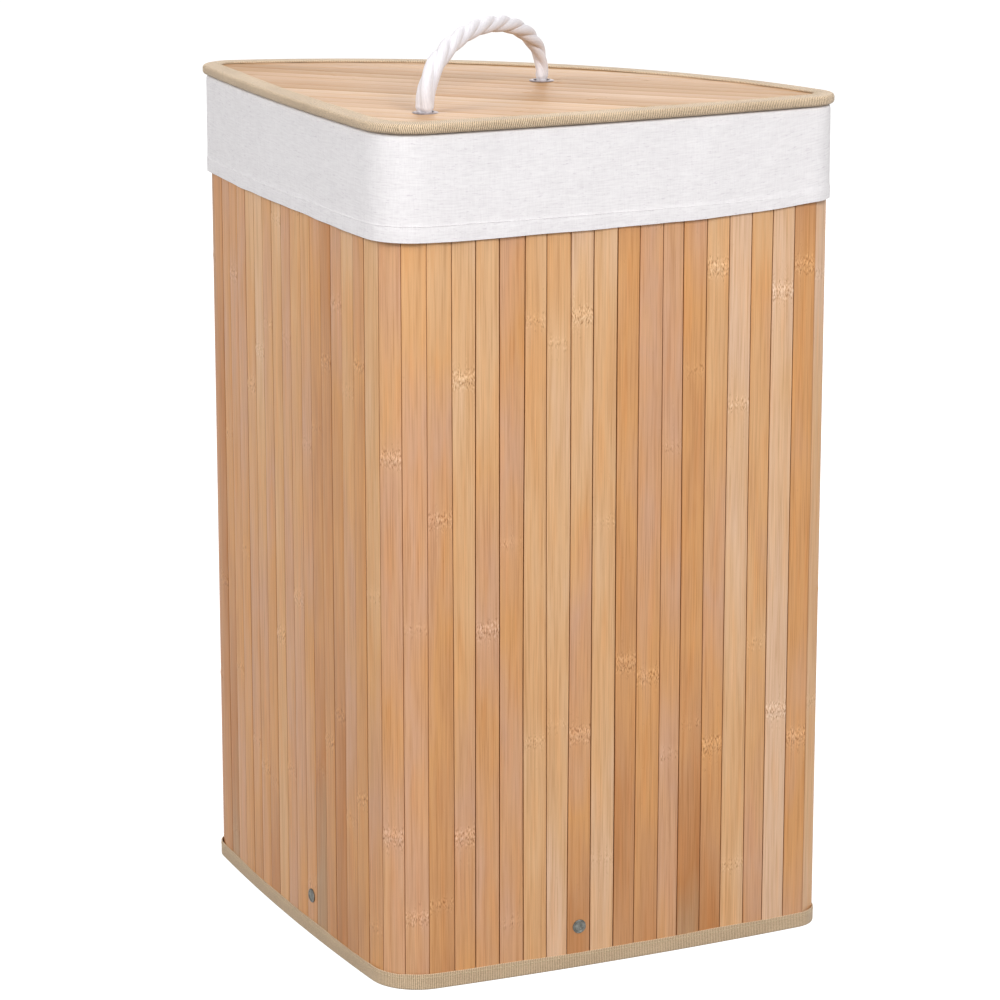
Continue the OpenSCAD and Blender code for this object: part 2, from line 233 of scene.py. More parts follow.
left_hub = np.array([-half_width / 2, -half_width / 2])
left_hub = left_hub + (side_curve - side_bow) * np.array([1, -1]) / math.sqrt(2)
front_hub = np.array([0.0, front_curve - front_bow - half_width])
back_hub = np.array([0.0, left_hub[1] + math.sqrt((side_curve - back_radius) ** 2 - left_hub[0] ** 2)])
corner_hub = crossing(left_hub, side_curve - corner_radius, front_hub, front_curve - corner_radius)
middle = np.array([0.0, (back_hub[1] + back_radius + front_hub[1] - front_curve) / 2])
mirror_x = np.array([-1.0, 1.0])
HUBS = np.array([back_hub, left_hub, corner_hub, front_hub, corner_hub * mirror_x,
                 left_hub * mirror_x, back_hub]) - middle
RADII = np.array([back_radius, side_curve, corner_radius, front_curve, corner_radius, side_curve, back_radius])
# the bearing at which each arc starts; the right half is the left half seen in a mirror
turns = [bearing(left_hub, back_hub), bearing(left_hub, corner_hub), bearing(front_hub, corner_hub)]
TURNS = np.array([math.pi / 2, *turns, *(3 * math.pi - turn for turn in turns[::-1]), 5 * math.pi / 2])
STARTS = np.concatenate([[0], np.cumsum(RADII * np.diff(TURNS))])
AROUND = STARTS[-1]


def place(s, off=0.0, z=0.0):
    """Point a distance s along the wall, moved out by off and up to z: hub + (radius + off)(cos a, sin a)."""
    s, off, z = np.broadcast_arrays(np.mod(s, AROUND), off, z)
    k = np.clip(np.searchsorted(STARTS, s, side="right") - 1, 0, 6)
    a = TURNS[k] + (s - STARTS[k]) / RADII[k]
    r = RADII[k] + off
    return np.stack([HUBS[k, 0] + r * np.cos(a), HUBS[k, 1] + r * np.sin(a), z], -1)


print("the wall is", round(AROUND / MM, 1), "mm round")
wall_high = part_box("wall_backing")[1]
print("plan against the frame's backing cloth, mm:",
      [round(float(v) / MM, 2) for v in place(np.linspace(0, AROUND, 999), -3 * MM)[:, :2].max(0)],
      [round(float(v) / MM, 2) for v in wall_high[:2]])


# %% [markdown]
# ## From grids to meshes
# Every new surface here is a grid of points, or many like grids at once, worked out as whole arrays. A grid
# that closes on itself is a tube, and one face over each open end makes a solid of it. Numpy finds the faces
# of all grids in one step, which is much faster than a loop over vertices.

# %% Quads and end faces
def quads(points, uv, close_rows=False, close_columns=False):
    """Quads of one grid or many: points (..., rows, columns, 3), uv (..., rows + 1 if closed, columns + 1, 2)."""
    rows, columns = points.shape[-3:-1]
    r = np.arange(rows if close_rows else rows - 1)[:, None]
    c = np.arange(columns if close_columns else columns - 1)[None, :]
    steps = [(0, 0), (0, 1), (1, 1), (1, 0)]
    one = np.stack([((r + i) % rows) * columns + (c + j) % columns for i, j in steps], -1).reshape(-1, 4)
    grids = int(np.prod(points.shape[:-3]))
    faces = (one[None] + np.arange(grids)[:, None, None] * rows * columns).reshape(-1, 4)
    corners = np.stack([uv[..., r + i, c + j, :] for i, j in steps], -2).reshape(-1, 4, 2)
    return faces, corners


def end_caps(points, uv):
    """One many-sided face over the first and the last row of each grid, to close a tube."""
    count, columns = points.shape[-3:-1]
    grids = int(np.prod(points.shape[:-3]))
    ring = np.arange(grids)[:, None] * count * columns + np.arange(columns)
    corner = uv.reshape((grids,) + uv.shape[-3:])[:, :, :columns]
    return [(ring[:, ::-1], corner[:, 0, ::-1]), (ring + (count - 1) * columns, corner[:, -1])]


# %% [markdown]
# A piece is one mesh made from all its arrays. Its UV map holds real metres along the surface, so a thread or a
# bamboo fibre can be given its true spacing. Marks such as a slat's tone are stored on its points. The piece
# then rides on a body of the frame, and its slot says which kind of material it has.

# %% From arrays to a piece
def make_piece(name, patches, material, body, sharp_degrees=40):
    """A mesh object on a body of the frame, or none. A patch is (points, [(faces, uv corners)], {mark: values})."""
    mesh = bpy.data.meshes.new(name)
    points = np.concatenate([p[0].reshape(-1, 3) for p in patches])
    starts = np.cumsum([0] + [p[0].size // 3 for p in patches[:-1]])
    sets = [(faces + start, corners) for p, start in zip(patches, starts) for faces, corners in p[1]]
    loops = np.concatenate([faces.ravel() for faces, _ in sets]).astype(np.int32)
    sizes = np.concatenate([np.full(len(faces), faces.shape[1]) for faces, _ in sets]).astype(np.int32)
    corners = np.concatenate([c.reshape(-1, 2) for _, c in sets])
    mesh.vertices.add(len(points))
    mesh.vertices.foreach_set("co", points.astype(np.float32).ravel())
    mesh.loops.add(len(loops))
    mesh.loops.foreach_set("vertex_index", loops)
    mesh.polygons.add(len(sizes))
    mesh.polygons.foreach_set("loop_start", np.concatenate([[0], np.cumsum(sizes)[:-1]]).astype(np.int32))
    mesh.polygons.foreach_set("loop_total", sizes)
    mesh.uv_layers.new(name="metres").data.foreach_set("uv", corners.astype(np.float32).ravel())
    for mark in patches[0][2]:
        values = np.concatenate([np.broadcast_to(p[2][mark], p[0].shape[:-1]).ravel() for p in patches])
        mesh.attributes.new(mark, "FLOAT", "POINT").data.foreach_set("value", values.astype(np.float32))
    mesh.update(calc_edges=True)
    mesh.validate()
    work = bmesh.new()
    work.from_mesh(mesh)
    bmesh.ops.recalc_face_normals(work, faces=work.faces)
    work.to_mesh(mesh)
    work.free()
    mesh.polygons.foreach_set("use_smooth", np.ones(len(mesh.polygons), bool))
    mesh.set_sharp_from_angle(angle=math.radians(sharp_degrees))
    mesh.materials.append(material)
    piece = bpy.data.objects.new(name, mesh)
    bpy.context.scene.collection.objects.link(piece)
    if body:
        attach(piece, body)
    print(name, "has", len(mesh.polygons), "faces")
    return piece


# %% [markdown]
# ## Patterns
# Nearly every finish here is noise drawn out to a real size: a fibre is long and thin, a thread short and thin.
# The noise is read from the UV map in metres, divided by that size. Two of its uses give a finish: one colours
# the surface through a ramp, the other raises it as relief.

# %% Patterns and relief
MULTIPLIED = {"data_type": "RGBA", "blend_type": "MULTIPLY"}
MIXED = {"data_type": "RGBA", "blend_type": "MIX"}


def metres_apart(tree):
    """The two axes of the surface's own UV, in metres, as two outputs."""
    parts = add_node(tree, "SeparateXYZ", (), add_node(tree, "UVMap", {"uv_map": "metres"}))
    return parts.outputs["X"], parts.outputs["Y"]


def grain(tree, across, along, seed, detail=2.0, rough=0.5):
    """Noise at (u / across + seed, v / along + seed), so its spots have that real size; u and v in metres."""
    uv = add_node(tree, "UVMap", {"uv_map": "metres"})
    sizes = {"Scale": (1 / across, 1 / along, 1), "Location": (seed, seed, seed)}
    spots = {"Scale": 1.0, "Detail": detail, "Roughness": rough}
    return add_node(tree, "TexNoise", spots, Vector=add_node(tree, "Mapping", sizes, Vector=uv))


def dress(tree, colour, relief, strength, depth, constants):
    """Joins a colour and a bump of the relief, depth in metres, to a shader whose sockets hold the constants."""
    bump = add_node(tree, "Bump", {"Strength": strength, "Distance": depth}, Height=relief)
    shader = add_node(tree, "BsdfPrincipled", constants, Base_Color=colour, Normal=bump)
    add_node(tree, "OutputMaterial", (), shader)


# %% [markdown]
# ## Bamboo
# A slat is split from the culm, planed to a strip and lacquered. It keeps three signs of the plant: long straight
# fibres, a tone of its own from straw to orange brown, and a mottled knuckle wherever the culm had a
# node. The fibres are noise drawn out along the slat; the tone and the knuckles' heights are marks carried by
# the mesh, because no two neighbouring slats are alike.

# %% Lacquered bamboo
def bamboo(name, tones, edge, contrast, warm):
    """Lacquered bamboo strip: tone by slat, broad and fine fibres, a flecked knuckle, and browner edges: partly the
    cut's own colour, partly painted shade in the seams.
    """
    material, tree = new_material(name)
    tone, knuckle, cut = (add_node(tree, "Attribute", {"attribute_name": mark}).outputs["Fac"]
                          for mark in ("tone", "knuckle", "edge"))
    drift = add_node(tree, "Math", "SUBTRACT", grain(tree, 25 * MM, 110 * MM, 3.1), 0.5)
    shade = add_node(tree, "Math", "MULTIPLY_ADD", drift, 0.42, tone)
    stops = [(i / (len(tones) - 1), linear(code)) for i, code in enumerate(tones)]
    colour = add_node(tree, "ValToRGB", {"stops": stops}, shade)
    # warmer and greyer stretches a few millimetres wide, then fibres of two and of one millimetre
    bands = grain(tree, 6 * MM, 80 * MM, 1.2, 3.0)
    stops = [(0.32, (*warm, 1)), (0.5, WHITE), (0.68, (0.99, 1.0, 1.035, 1))]
    tint = add_node(tree, "ValToRGB", {"stops": stops}, bands)
    fine = add_node(tree, "Math", "MULTIPLY", grain(tree, 0.9 * MM, 60 * MM, 1.7, 2.0, 0.75), 0.75)
    fibres = add_node(tree, "Math", "MULTIPLY_ADD", grain(tree, 2.6 * MM, 130 * MM, 5.3), 0.25, fine)
    stops = [(0.34, (0.84, 0.77, 0.68, 1)), (0.5, WHITE), (0.66, (1.08, 1.11, 1.13, 1))]
    streak = add_node(tree, "ValToRGB", {"stops": stops}, fibres)
    colour = add_node(tree, "Mix", MULTIPLIED, 1.0, colour, tint)
    colour = add_node(tree, "Mix", MULTIPLIED, contrast, colour, streak)
    # the knuckle: a band about 12 mm high with a scalloped edge and short pale and dark strokes in small arcs
    across, up = metres_apart(tree)
    arcs = add_node(tree, "Math", "SINE", add_node(tree, "Math", "MULTIPLY", across, math.pi / (5.2 * MM)))
    scallop = add_node(tree, "Math", "ABSOLUTE", arcs)
    ragged = add_node(tree, "Math", "SUBTRACT", grain(tree, 3 * MM, 6 * MM, 7.7), 0.72)
    inside = add_node(tree, "Math", "ADD", knuckle, add_node(tree, "Math", "MULTIPLY_ADD", scallop, 0.22, ragged))
    soft = {"interpolation_type": "SMOOTHSTEP", "From Min": 0.05, "From Max": 0.7}
    patch = add_node(tree, "MapRange", soft, Value=inside)
    bent = add_node(tree, "Math", "MULTIPLY_ADD", scallop, 2.2 * MM, up)
    lines = add_node(tree, "CombineXYZ", (), add_node(tree, "Math", "DIVIDE", across, 0.9 * MM),
                     add_node(tree, "Math", "DIVIDE", bent, 2.6 * MM))
    strokes = add_node(tree, "TexNoise", {"Scale": 1.0, "Detail": 1.0, "Roughness": 0.5}, Vector=lines)
    paler = add_node(tree, "Mix", MULTIPLIED, 1.0, colour, (1.08, 1.12, 1.2, 1))
    colour = add_node(tree, "Mix", MIXED, knuckle, colour, paler)
    stops = [(0.32, (0.56, 0.45, 0.34, 1)), (0.44, (0.92, 0.88, 0.83, 1)),
             (0.56, (1.04, 1.07, 1.08, 1)), (0.68, (1.18, 1.32, 1.45, 1))]
    flecked = add_node(tree, "Mix", MULTIPLIED, 1.0, colour, add_node(tree, "ValToRGB", {"stops": stops}, strokes))
    colour = add_node(tree, "Mix", MIXED, patch, colour, flecked)
    # the rounded edges and sides of each slat turn brown: partly the cut's own colour, partly painted shade that
    # darkens the seams
    colour = add_node(tree, "Mix", MIXED, add_node(tree, "Math", "POWER", cut, 1.4), colour, linear(edge))
    height = add_node(tree, "Math", "MULTIPLY_ADD", add_node(tree, "Math", "MULTIPLY", patch, strokes), 0.9,
                      add_node(tree, "Math", "MULTIPLY", fibres, 0.5))
    dress(tree, colour, height, 0.4, 0.2 * MM,
          {"Roughness": 0.55, "Specular IOR Level": 0.35, "Coat Weight": 0.05, "Coat Roughness": 0.4})
    return material


wall_colours = ["e4bc9a", "e1b385", "dda874", "d4a380", "d99f67", "cb9466", "c18450", "bc9570"]
lid_colours = ["cca987", "c39c77", "ba916a", "b38858", "a87b49"]
# the third value is the edge colour: partly the cut's own brown, partly painted shade in the seams
wall_bamboo = bamboo("lacquered_bamboo_wall", wall_colours, "a0683a", 1.0, (1.035, 0.98, 0.91))
lid_bamboo = bamboo("lacquered_bamboo_lid", lid_colours, "a97f55", 0.5, (0.985, 0.89, 0.72))


# %% [markdown]
# ## A slat
# The strip has a slightly crowned face and rounded long edges. Its section is a short list of corners, and its
# length is a row of rings, closer together at each knuckle, where the face swells by a few tenths of a
# millimetre. One function makes all the slats of a wall at once: the arrays have one axis for the slats, one
# for the rings and one for the section.

# %% Strips with knuckles
CROWN = 0.2 * MM


def section(width, inner_width, thick, rounding):
    """Across and outward places of the section's corners: rounded edges, crowned face, flat back."""
    arc = np.radians([180, 150, 120, 90])
    arc_x, arc_y = rounding * (1 + np.cos(arc)), rounding * (np.sin(arc) - 1)
    half = width[:, None] / 2
    x = np.concatenate([arc_x - half, half * [-0.5, 0, 0.5], half - arc_x[::-1],
                        inner_width[:, None] / 2 * [1, -1]], 1)
    y = np.concatenate([arc_y, CROWN * np.array([0.75, 1, 0.75]), arc_y[::-1], [-thick, -thick]])
    return x, y


def sideways(way, t):
    """How far a seam strays at share t of its length: size sin(2 pi cycles t + phase) + lean (t - 1/2)."""
    size, cycles, phase, lean = way.T[:, :, None]
    return size * np.sin(2 * math.pi * cycles * t + phase) + lean * (t - 0.5)


def strips(origin, across, out, along, x, y, low, high, knuckles, swell, tone, ways):
    """Closed tubes at origin + across * x + out * y + along * z, where z runs from low to high at each corner.

    A knuckle adds swell * (exp(-(gap / 2.2 mm)^2) - 0.3 exp(-((gap - 5 mm) / 2 mm)^2)) to the face, where gap is
    the distance from it. tone holds two rows, the tone at the foot and at the top; ways are the two seams.
    """
    count = len(x)
    own = np.arange(count)[:, None, None]
    front = np.array([0, 0.2, 0.8, 1, 1, 1, 1, 1, 0.8, 0.2, 0, 0, 0])
    # edge marks the rounded long edges and sides, which the bamboo browns as cut colour and as painted seam shade
    edge = np.array([1, 0.7, 0.25, 0, 0, 0, 0, 0, 0.25, 0.7, 1, 1, 1])
    start, length = low.mean(1)[:, None], (high - low).mean(1)[:, None]
    steps = np.array([-9, -6, -4, -2.4, -1.2, 0, 1.2, 2.4, 4, 6, 9]) * MM
    near = ((knuckles[:, :, None] + steps).reshape(count, -1) - start) / length
    even = np.broadcast_to(np.linspace(0, 1, 16), (count, 16))
    t = np.sort(np.clip(np.concatenate([even, near], 1), 0, 1), 1)
    gap = (start + t * length)[:, :, None] - knuckles[:, None, :]
    ridge = np.exp(-(gap / (2.2 * MM)) ** 2) - 0.3 * np.exp(-((gap - 5 * MM) / (2 * MM)) ** 2)
    bulge = (swell[:, None, :] * ridge).sum(-1)
    reach = (np.exp(-(gap / (7 * MM)) ** 2) * (swell / (0.4 * MM))[:, None, :]).max(-1)
    share = (x / (x.max(1) - x.min(1))[:, None] + 0.5)[:, None, :]
    px = x[:, None, :] + sideways(ways[0], t)[..., None] * (1 - share) + sideways(ways[1], t)[..., None] * share
    slow = 0.07 * np.sin(2 * math.pi * t * (0.6 + own[:, :, 0] % 3 * 0.35) + own[:, :, 0] * 2.4)
    py = y + bulge[:, :, None] * front
    pz = low[:, None, :] + t[:, :, None] * (high - low)[:, None, :]
    points = origin[:, None, None] + sum(way[:, None, None] * part[..., None]
                                         for way, part in ((across, px), (out, py), (along, pz)))
    uv = np.stack(np.broadcast_arrays(px + own * 0.0371, pz + own * 0.2597), -1)
    tone = tone[0][:, None] * (1 - t) + tone[1][:, None] * t + slow
    uv = np.concatenate([uv, uv[:, :, :1]], 2)
    faces = [quads(points, uv, close_columns=True)] + end_caps(points, uv)
    marks = {"edge": np.broadcast_to(edge, px.shape), "knuckle": reach[:, :, None] * front,
             "tone": np.broadcast_to(tone[:, :, None], px.shape)}
    return points, faces, marks


# %% [markdown]
# ## The wall
# Sixty-seven slats stand side by side round the plan, each one flat, so the wall is really a many-sided prism.
# Each has a letter for the tone at its foot and one for its top, and drifts from one to the other. The letters
# follow the material's list of colours: w, p, l and t are straw, g and o golden, r the reddest brown and n a
# greyer one. A culm has a knuckle about every 30 cm, so each slat has two. Their heights are given in
# millimetres for the slats that are seen most, and are drawn at random elsewhere.

# %% Tones and knuckles of the slats
slat_thick = 3 * MM
seam_shift = 4 * MM
slat_count = 67
pitch = AROUND / slat_count
draw = np.random.default_rng(7)
front_tones = "lgptoltwpgptlopptgwltpoptlgtpro"
foot_tones = "toggtlwopootrrptwtp" + front_tones + "ntgogoltggnoroogt"
top_tones = "lpwpgplwpgtttwwpwow" + front_tones + "lgtwwlptlltotwtwt"
tone_of = {letter: i / (len(wall_colours) - 1) for i, letter in enumerate("wpltgorn")}
tones = np.array([[tone_of[letter] for letter in row] for row in (foot_tones, top_tones)])
knuckles_seen = {
    0: (52, 257), 1: (60, 332), 2: (107, 427), 3: (252, 570), 4: (40, 311), 5: (169, 463), 6: (178, 446),
    7: (170, 463), 8: (77, 319), 9: (217, 535), 10: (205, 525), 11: (147, 367), 12: (166, 418),
    13: (148, 488), 14: (57, 391), 15: (219, 545), 16: (166, 467), 17: (144, 484), 66: (109, 374),
    65: (40, 277), 63: (107, 412), 61: (155, 425), 60: (130, 375), 59: (38, 360), 55: (95, 432),
    52: (255, 560), 50: (30, 335)}
bold, faint = (2, 3, 7, 9, 13, 16, 17, 66), (4, 6, 8, 11, 12, 15, 50, 52, 55, 59, 60, 63, 65)
knuckle_heights = draw.uniform(30, 250, (slat_count, 1)) + draw.uniform(265, 335, (slat_count, 1)) * [0, 1]
knuckle_heights[list(knuckles_seen)] = list(knuckles_seen.values())
slat_bottom, slat_top = (float(corner[2]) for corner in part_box("slats_front"))
print(len(knuckles_seen), "slats with given knuckles,", len(set(foot_tones + top_tones)), "tones")

# %% [markdown]
# Hand-glued slats differ a little: no seam is quite upright or quite in its place, and one slat lies deeper than
# the next. Small seeded shifts do the same here. The seams stray less round the corners, where a wider gap
# would show the cloth behind.

# %% Seams and axes of the slats
seams = seam_shift + pitch * np.arange(slat_count + 1)
straight = np.ones(slat_count)
for corner in (STARTS[:-1] + STARTS[1:])[[2, 4]] / 2:
    straight[np.abs(seams[:-1] - corner) < 32 * MM] = 0.2
straight[[0, 1, 66]] = 0.2
seams[:-1] += draw.uniform(-0.8, 0.8, slat_count) * MM * straight
seams[-1] = seams[0] + AROUND
seam_ways = np.stack([draw.uniform(0.1, 0.45, slat_count) * MM * straight, draw.uniform(0.3, 1.2, slat_count),
                      draw.uniform(0, 6.3, slat_count), draw.uniform(-1.2, 1.2, slat_count) * MM * straight], 1)
first, last = place(seams[:-1]), place(seams[1:])
inner_first, inner_last = place(seams[:-1], -slat_thick), place(seams[1:], -slat_thick)
chord = np.linalg.norm(last - first, axis=1)
inner_chord = np.linalg.norm(inner_last - inner_first, axis=1)
slat_across = (last - first) / chord[:, None]
slat_out = np.stack([slat_across[:, 1], -slat_across[:, 0], np.zeros(slat_count)], 1)
up = np.broadcast_to([0.0, 0.0, 1.0], (slat_count, 3))
swells = draw.uniform(0.16, 0.34, (slat_count, 2))
swells[list(bold)], swells[list(faint)] = 0.42, 0.16
sunk = draw.uniform(-0.18, 0.18, slat_count) * MM
middles = (seams[:-1] + seams[1:]) / 2
own_arc = np.searchsorted(STARTS, np.mod(middles, AROUND), side="right") - 1
print("slats are", round(chord.min() / MM, 1), "to", round(chord.max() / MM, 1), "mm wide")

# %% [markdown]
# All slats of one stretch of the wall are made in one call and are one piece, as they are in the frame. Each
# still has its own width, ends, knuckles and tones, since these are whole arrays with a row for each slat.

# %% Wall slats
arc_of_group = {"back_corner": (0, 6), "left_side": (1,), "left_corner": (2,), "front": (3,),
                "right_corner": (4,), "right_side": (5,)}
slat_gap = draw.uniform(0.2, 0.6, slat_count) * MM
x, y = section(chord - slat_gap, inner_chord - slat_gap, slat_thick, 0.55 * MM)
low, high = np.full(x.shape, slat_bottom), np.full(x.shape, slat_top)
origin = (first + last) / 2 + slat_out * sunk[:, None]
next_ways = np.roll(seam_ways, -1, 0)
for group, arcs in arc_of_group.items():
    k = np.isin(own_arc, arcs)
    patch = strips(origin[k], slat_across[k], slat_out[k], up[k], x[k], y, low[k], high[k],
                   knuckle_heights[k] * MM, swells[k] * MM, tones[:, k], (seam_ways[k], next_ways[k]))
    piece = make_piece("bamboo_" + group, [patch], wall_bamboo, "wall_unit", 50)
    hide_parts("slats_" + group)
print(slat_count, "slats,", round(pitch / MM, 2), "mm from seam to seam")


# %% [markdown]
# ## Cloth and tape
# The bag and cuff are a plain weave of cotton with some linen. Its threads are uneven: long thin and thick
# stretches run both ways, and here and there a short grey slub. Real threads are about 0.4 mm apart, too
# fine to show, so they are drawn about 1 mm apart. The tapes are ribbed webbing, whose ribs stand across the
# tape about 1.3 mm apart, with painted shade darkening the grooves between them.

# %% Woven cloth and ribbed webbing
def woven(name, thread, pale, dark, slub, slub_start, depth):
    """Plain weave: faint threads both ways, thread metres apart, and grey slubs, fewer from a higher start."""
    material, tree = new_material(name)
    warp = add_node(tree, "Math", "MULTIPLY", grain(tree, thread, thread * 9, 2.3, 2.0, 0.6), 0.35)
    weft = grain(tree, thread * 12, thread * 1.2, 6.1, 3.0, 0.6)
    threads = add_node(tree, "Math", "MULTIPLY_ADD", weft, 0.65, warp)
    cloudy = grain(tree, 30 * MM, 12 * MM, 9.2, 3.0)
    shade = add_node(tree, "Math", "MULTIPLY_ADD", cloudy, 0.15, add_node(tree, "Math", "MULTIPLY", threads, 0.85))
    colour = add_node(tree, "ValToRGB", {"stops": [(0.34, linear(dark)), (0.6, linear(pale))]}, shade)
    limits = {"From Min": slub_start, "From Max": slub_start + 0.12}
    slubs = add_node(tree, "MapRange", limits, Value=grain(tree, thread * 4.5, thread, 4.4, 3.0))
    colour = add_node(tree, "Mix", MIXED, add_node(tree, "Math", "MULTIPLY", slubs, 0.5), colour, linear(slub))
    dress(tree, colour, threads, depth, 0.3 * MM, {"Roughness": 0.92, "Sheen Weight": 0.2, "Sheen Roughness": 0.6})
    return material


def webbing(name, pitch, pale, dark, slant, depth):
    """Ribs across the tape, pitch metres apart, leaning one way and the other across its width by slant; the colour
    darkens in the rib grooves as painted shade.
    """
    material, tree = new_material(name)
    along, across = metres_apart(tree)
    zigzag = add_node(tree, "Math", "PINGPONG", across, 3.5 * MM)
    run = add_node(tree, "Math", "MULTIPLY_ADD", zigzag, slant, along)
    wave = add_node(tree, "Math", "SINE", add_node(tree, "Math", "MULTIPLY", run, 2 * math.pi / pitch))
    rib = add_node(tree, "Math", "MULTIPLY", add_node(tree, "Math", "MULTIPLY_ADD", wave, 0.5, 0.5), 0.55)
    shade = add_node(tree, "Math", "MULTIPLY_ADD", grain(tree, pitch, pitch * 0.5, 1.3, 2.0, 0.6), 0.7, rib)
    shade = add_node(tree, "Math", "MULTIPLY_ADD", grain(tree, 50 * MM, 20 * MM, 7.2), 0.3, shade)
    # the ramp's dark end comes partly from yarn tone and partly from the rib wave, so the grooves between ribs get
    # painted shade
    colour = add_node(tree, "ValToRGB", {"stops": [(0.46, linear(dark)), (0.98, linear(pale))]}, shade)
    dress(tree, colour, shade, depth, 0.5 * MM, {"Roughness": 0.85, "Sheen Weight": 0.2})
    return material


white_cloth = woven("cotton_linen_plain_weave", 0.9 * MM, "f6f3f4", "e7e3e5", "cbc2ca", 0.61, 0.2)
backing_weave = woven("unbleached_cotton_backing", 1.2 * MM, "e6dcc6", "cfc2a6", "b9aa8a", 0.74, 0.4)
# the dark colour of each webbing is partly yarn tone, partly painted shade in the rib grooves
tan_webbing = webbing("ribbed_cotton_binding_tape", 1.3 * MM, "e4c9a6", "a88e70", 0.0, 0.8)
lid_webbing = webbing("herringbone_cotton_binding_tape", 1.3 * MM, "efd6b6", "8b7256", 0.25, 1.0)
tan_thread = woven("spun_polyester_sewing_thread", 0.3 * MM, "dcc9a8", "bfa683", "a8906f", 0.8, 0.3)
white_thread = woven("white_cotton_sewing_thread", 0.3 * MM, "f2eff0", "dfdbdd", "cfc8ce", 0.8, 0.3)


# %% [markdown]
# ## Layers that follow the wall
# Tape, backing cloth and cuff are a closed profile carried round the plan. A profile point is an offset and a
# height; the run round the wall is cut at every seam, with a few steps between. Layers inside the wall
# follow the flat slats, layers outside it follow the smooth curve, as cloth pulled tight over them does.

# %% Carrying a profile round the wall
def facet(s, off, z):
    """Like place, but along the straight chords between seams, as flat slats make the wall."""
    s, off, z = np.broadcast_arrays(np.mod(s - seams[0], AROUND) + seams[0], off, z)
    i = np.clip(np.searchsorted(seams, s, side="right") - 1, 0, slat_count - 1)
    t = ((s - seams[i]) / (seams[i + 1] - seams[i]))[..., None]
    return place(seams[i], off, z) * (1 - t) + place(seams[i + 1], off, z) * t


def path_length(points):
    """Distance along each row of points from its first point."""
    step = np.linalg.norm(np.diff(points, axis=-2), axis=-1)
    return np.concatenate([np.zeros(step.shape[:-1] + (1,)), np.cumsum(step, -1)], -1)


def run_round(per_slat=6):
    """Distances round the wall: every seam, with even steps between seams."""
    return np.concatenate([np.linspace(a, b, per_slat, endpoint=False) for a, b in zip(seams[:-1], seams[1:])])


def carried(s, off, z, lay=place, closed=True):
    """Patch of a closed profile (off, z), one row for all or a row for each distance, carried along s."""
    off, z = np.broadcast_arrays(off, z)
    off, z = (np.broadcast_to(v, (len(s), v.shape[-1])) for v in (off, z))
    points = lay(s[:, None], off, z)
    profile = np.stack([off, z], -1)
    v = path_length(np.concatenate([profile, profile[:, :1]], 1))
    if closed:
        s, v = np.append(s, s[0] + AROUND), np.concatenate([v, v[:1]])
    uv = np.stack([np.broadcast_to(s[:, None], v.shape), v], -1)
    faces = [quads(points, uv, closed, True)]
    return points, faces if closed else faces + end_caps(points[None], uv[None]), {}


# %% [markdown]
# Two shapes come back on every tape: its section, folded over an edge with a rounded fold, and its seam. Both
# are written once, for any edge.

# %% Folded tape and stitches
def folded_tape(leg, across, thick, rounding):
    """Closed section of a tape folded over an edge: (from the fold to the leg's end, from outer to inner leg)."""
    bend = np.radians([0, 22.5, 45, 67.5, 90])
    a = rounding * (1 - np.sin(bend))
    b = rounding * (1 - np.cos(bend))
    end = 0.25 * MM
    outer_u = np.concatenate([[leg - end], np.linspace(leg * 0.8, rounding * 1.6, 3), a])
    outer_v = np.concatenate([[0], np.zeros(3), b])
    u = np.concatenate([outer_u, outer_u[::-1], [leg, leg, thick, thick, leg, leg]])
    v = np.concatenate([outer_v, across - outer_v[::-1],
                        [across - end, across - thick, across - thick, thick, thick, end]])
    return u, v


def stitches(spacing, off, z, thread, lay, upright=False):
    """A row of lockstitches right round: short capsules of thread that dip into the cloth at each end."""
    count = int(AROUND / spacing)
    centre = (np.arange(count) + 0.5) * AROUND / count
    t = np.array([-1, -0.8, -0.35, 0.35, 0.8, 1])
    size = np.array([0.35, 0.8, 1, 1, 0.8, 0.35]) * thread / 2
    turn = np.linspace(0, 2 * math.pi, 6, endpoint=False)
    s = centre[:, None, None] + (spacing * 0.41) * t[None, :, None]
    lift = size[None, :, None] * np.cos(turn) + (size[None, :, None] - thread / 2) * 0.9
    side = size[None, :, None] * np.sin(turn)
    s, lift, side = np.broadcast_arrays(s, lift, side)
    points = lay(s, off + (side if upright else lift), z + (lift if upright else side))
    uv = np.stack([s, side + lift], -1)
    uv = np.concatenate([uv, uv[:, :, :1]], 2)
    return points, [quads(points, uv, close_columns=True)] + end_caps(points, uv), {}


# %% [markdown]
# The tape at the foot is folded over the edge of the mat and sewn through, and the same tape closes the upper edge
# under the cuff. Its free end is cut by hand, so it wanders by a fraction of a millimetre. The seam shows outside
# and inside as short stitches, each of them a capsule of thread.

# %% Tape round the base and the rim
run = run_round()
tape_thick = 0.8 * MM
wall_inside = -3.6 * MM
base_low, base_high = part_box("base_binding")
tape_height = float(base_high[2] - base_low[2])
rim_high = float(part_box("rim_binding")[1][2])


def follow_wall(s, off, z):
    """Smooth outside the slats, flat-sided inside them."""
    return np.where((off > -1.2 * MM)[..., None], place(s, off, z), facet(s, off, z))


leg_u, leg_v = folded_tape(tape_height, tape_thick * 2 - wall_inside, tape_thick, 1.1 * MM)
wavy = 0.25 * MM * np.sin(run / 0.031) + 0.2 * MM * np.sin(run / 0.0127 + 1)
free_end = (leg_u > tape_height * 0.9)[None, :] * (wavy[:, None] - 0.45 * MM)
tape_patches = {
    "base_binding": carried(run, tape_thick - leg_v, leg_u + free_end, follow_wall),
    "rim_binding": carried(run, tape_thick - leg_v, rim_high - leg_u, follow_wall)}
for node, patch in tape_patches.items():
    piece = make_piece(node + "_tape", [patch], tan_webbing, "wall_unit")
    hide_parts(node)

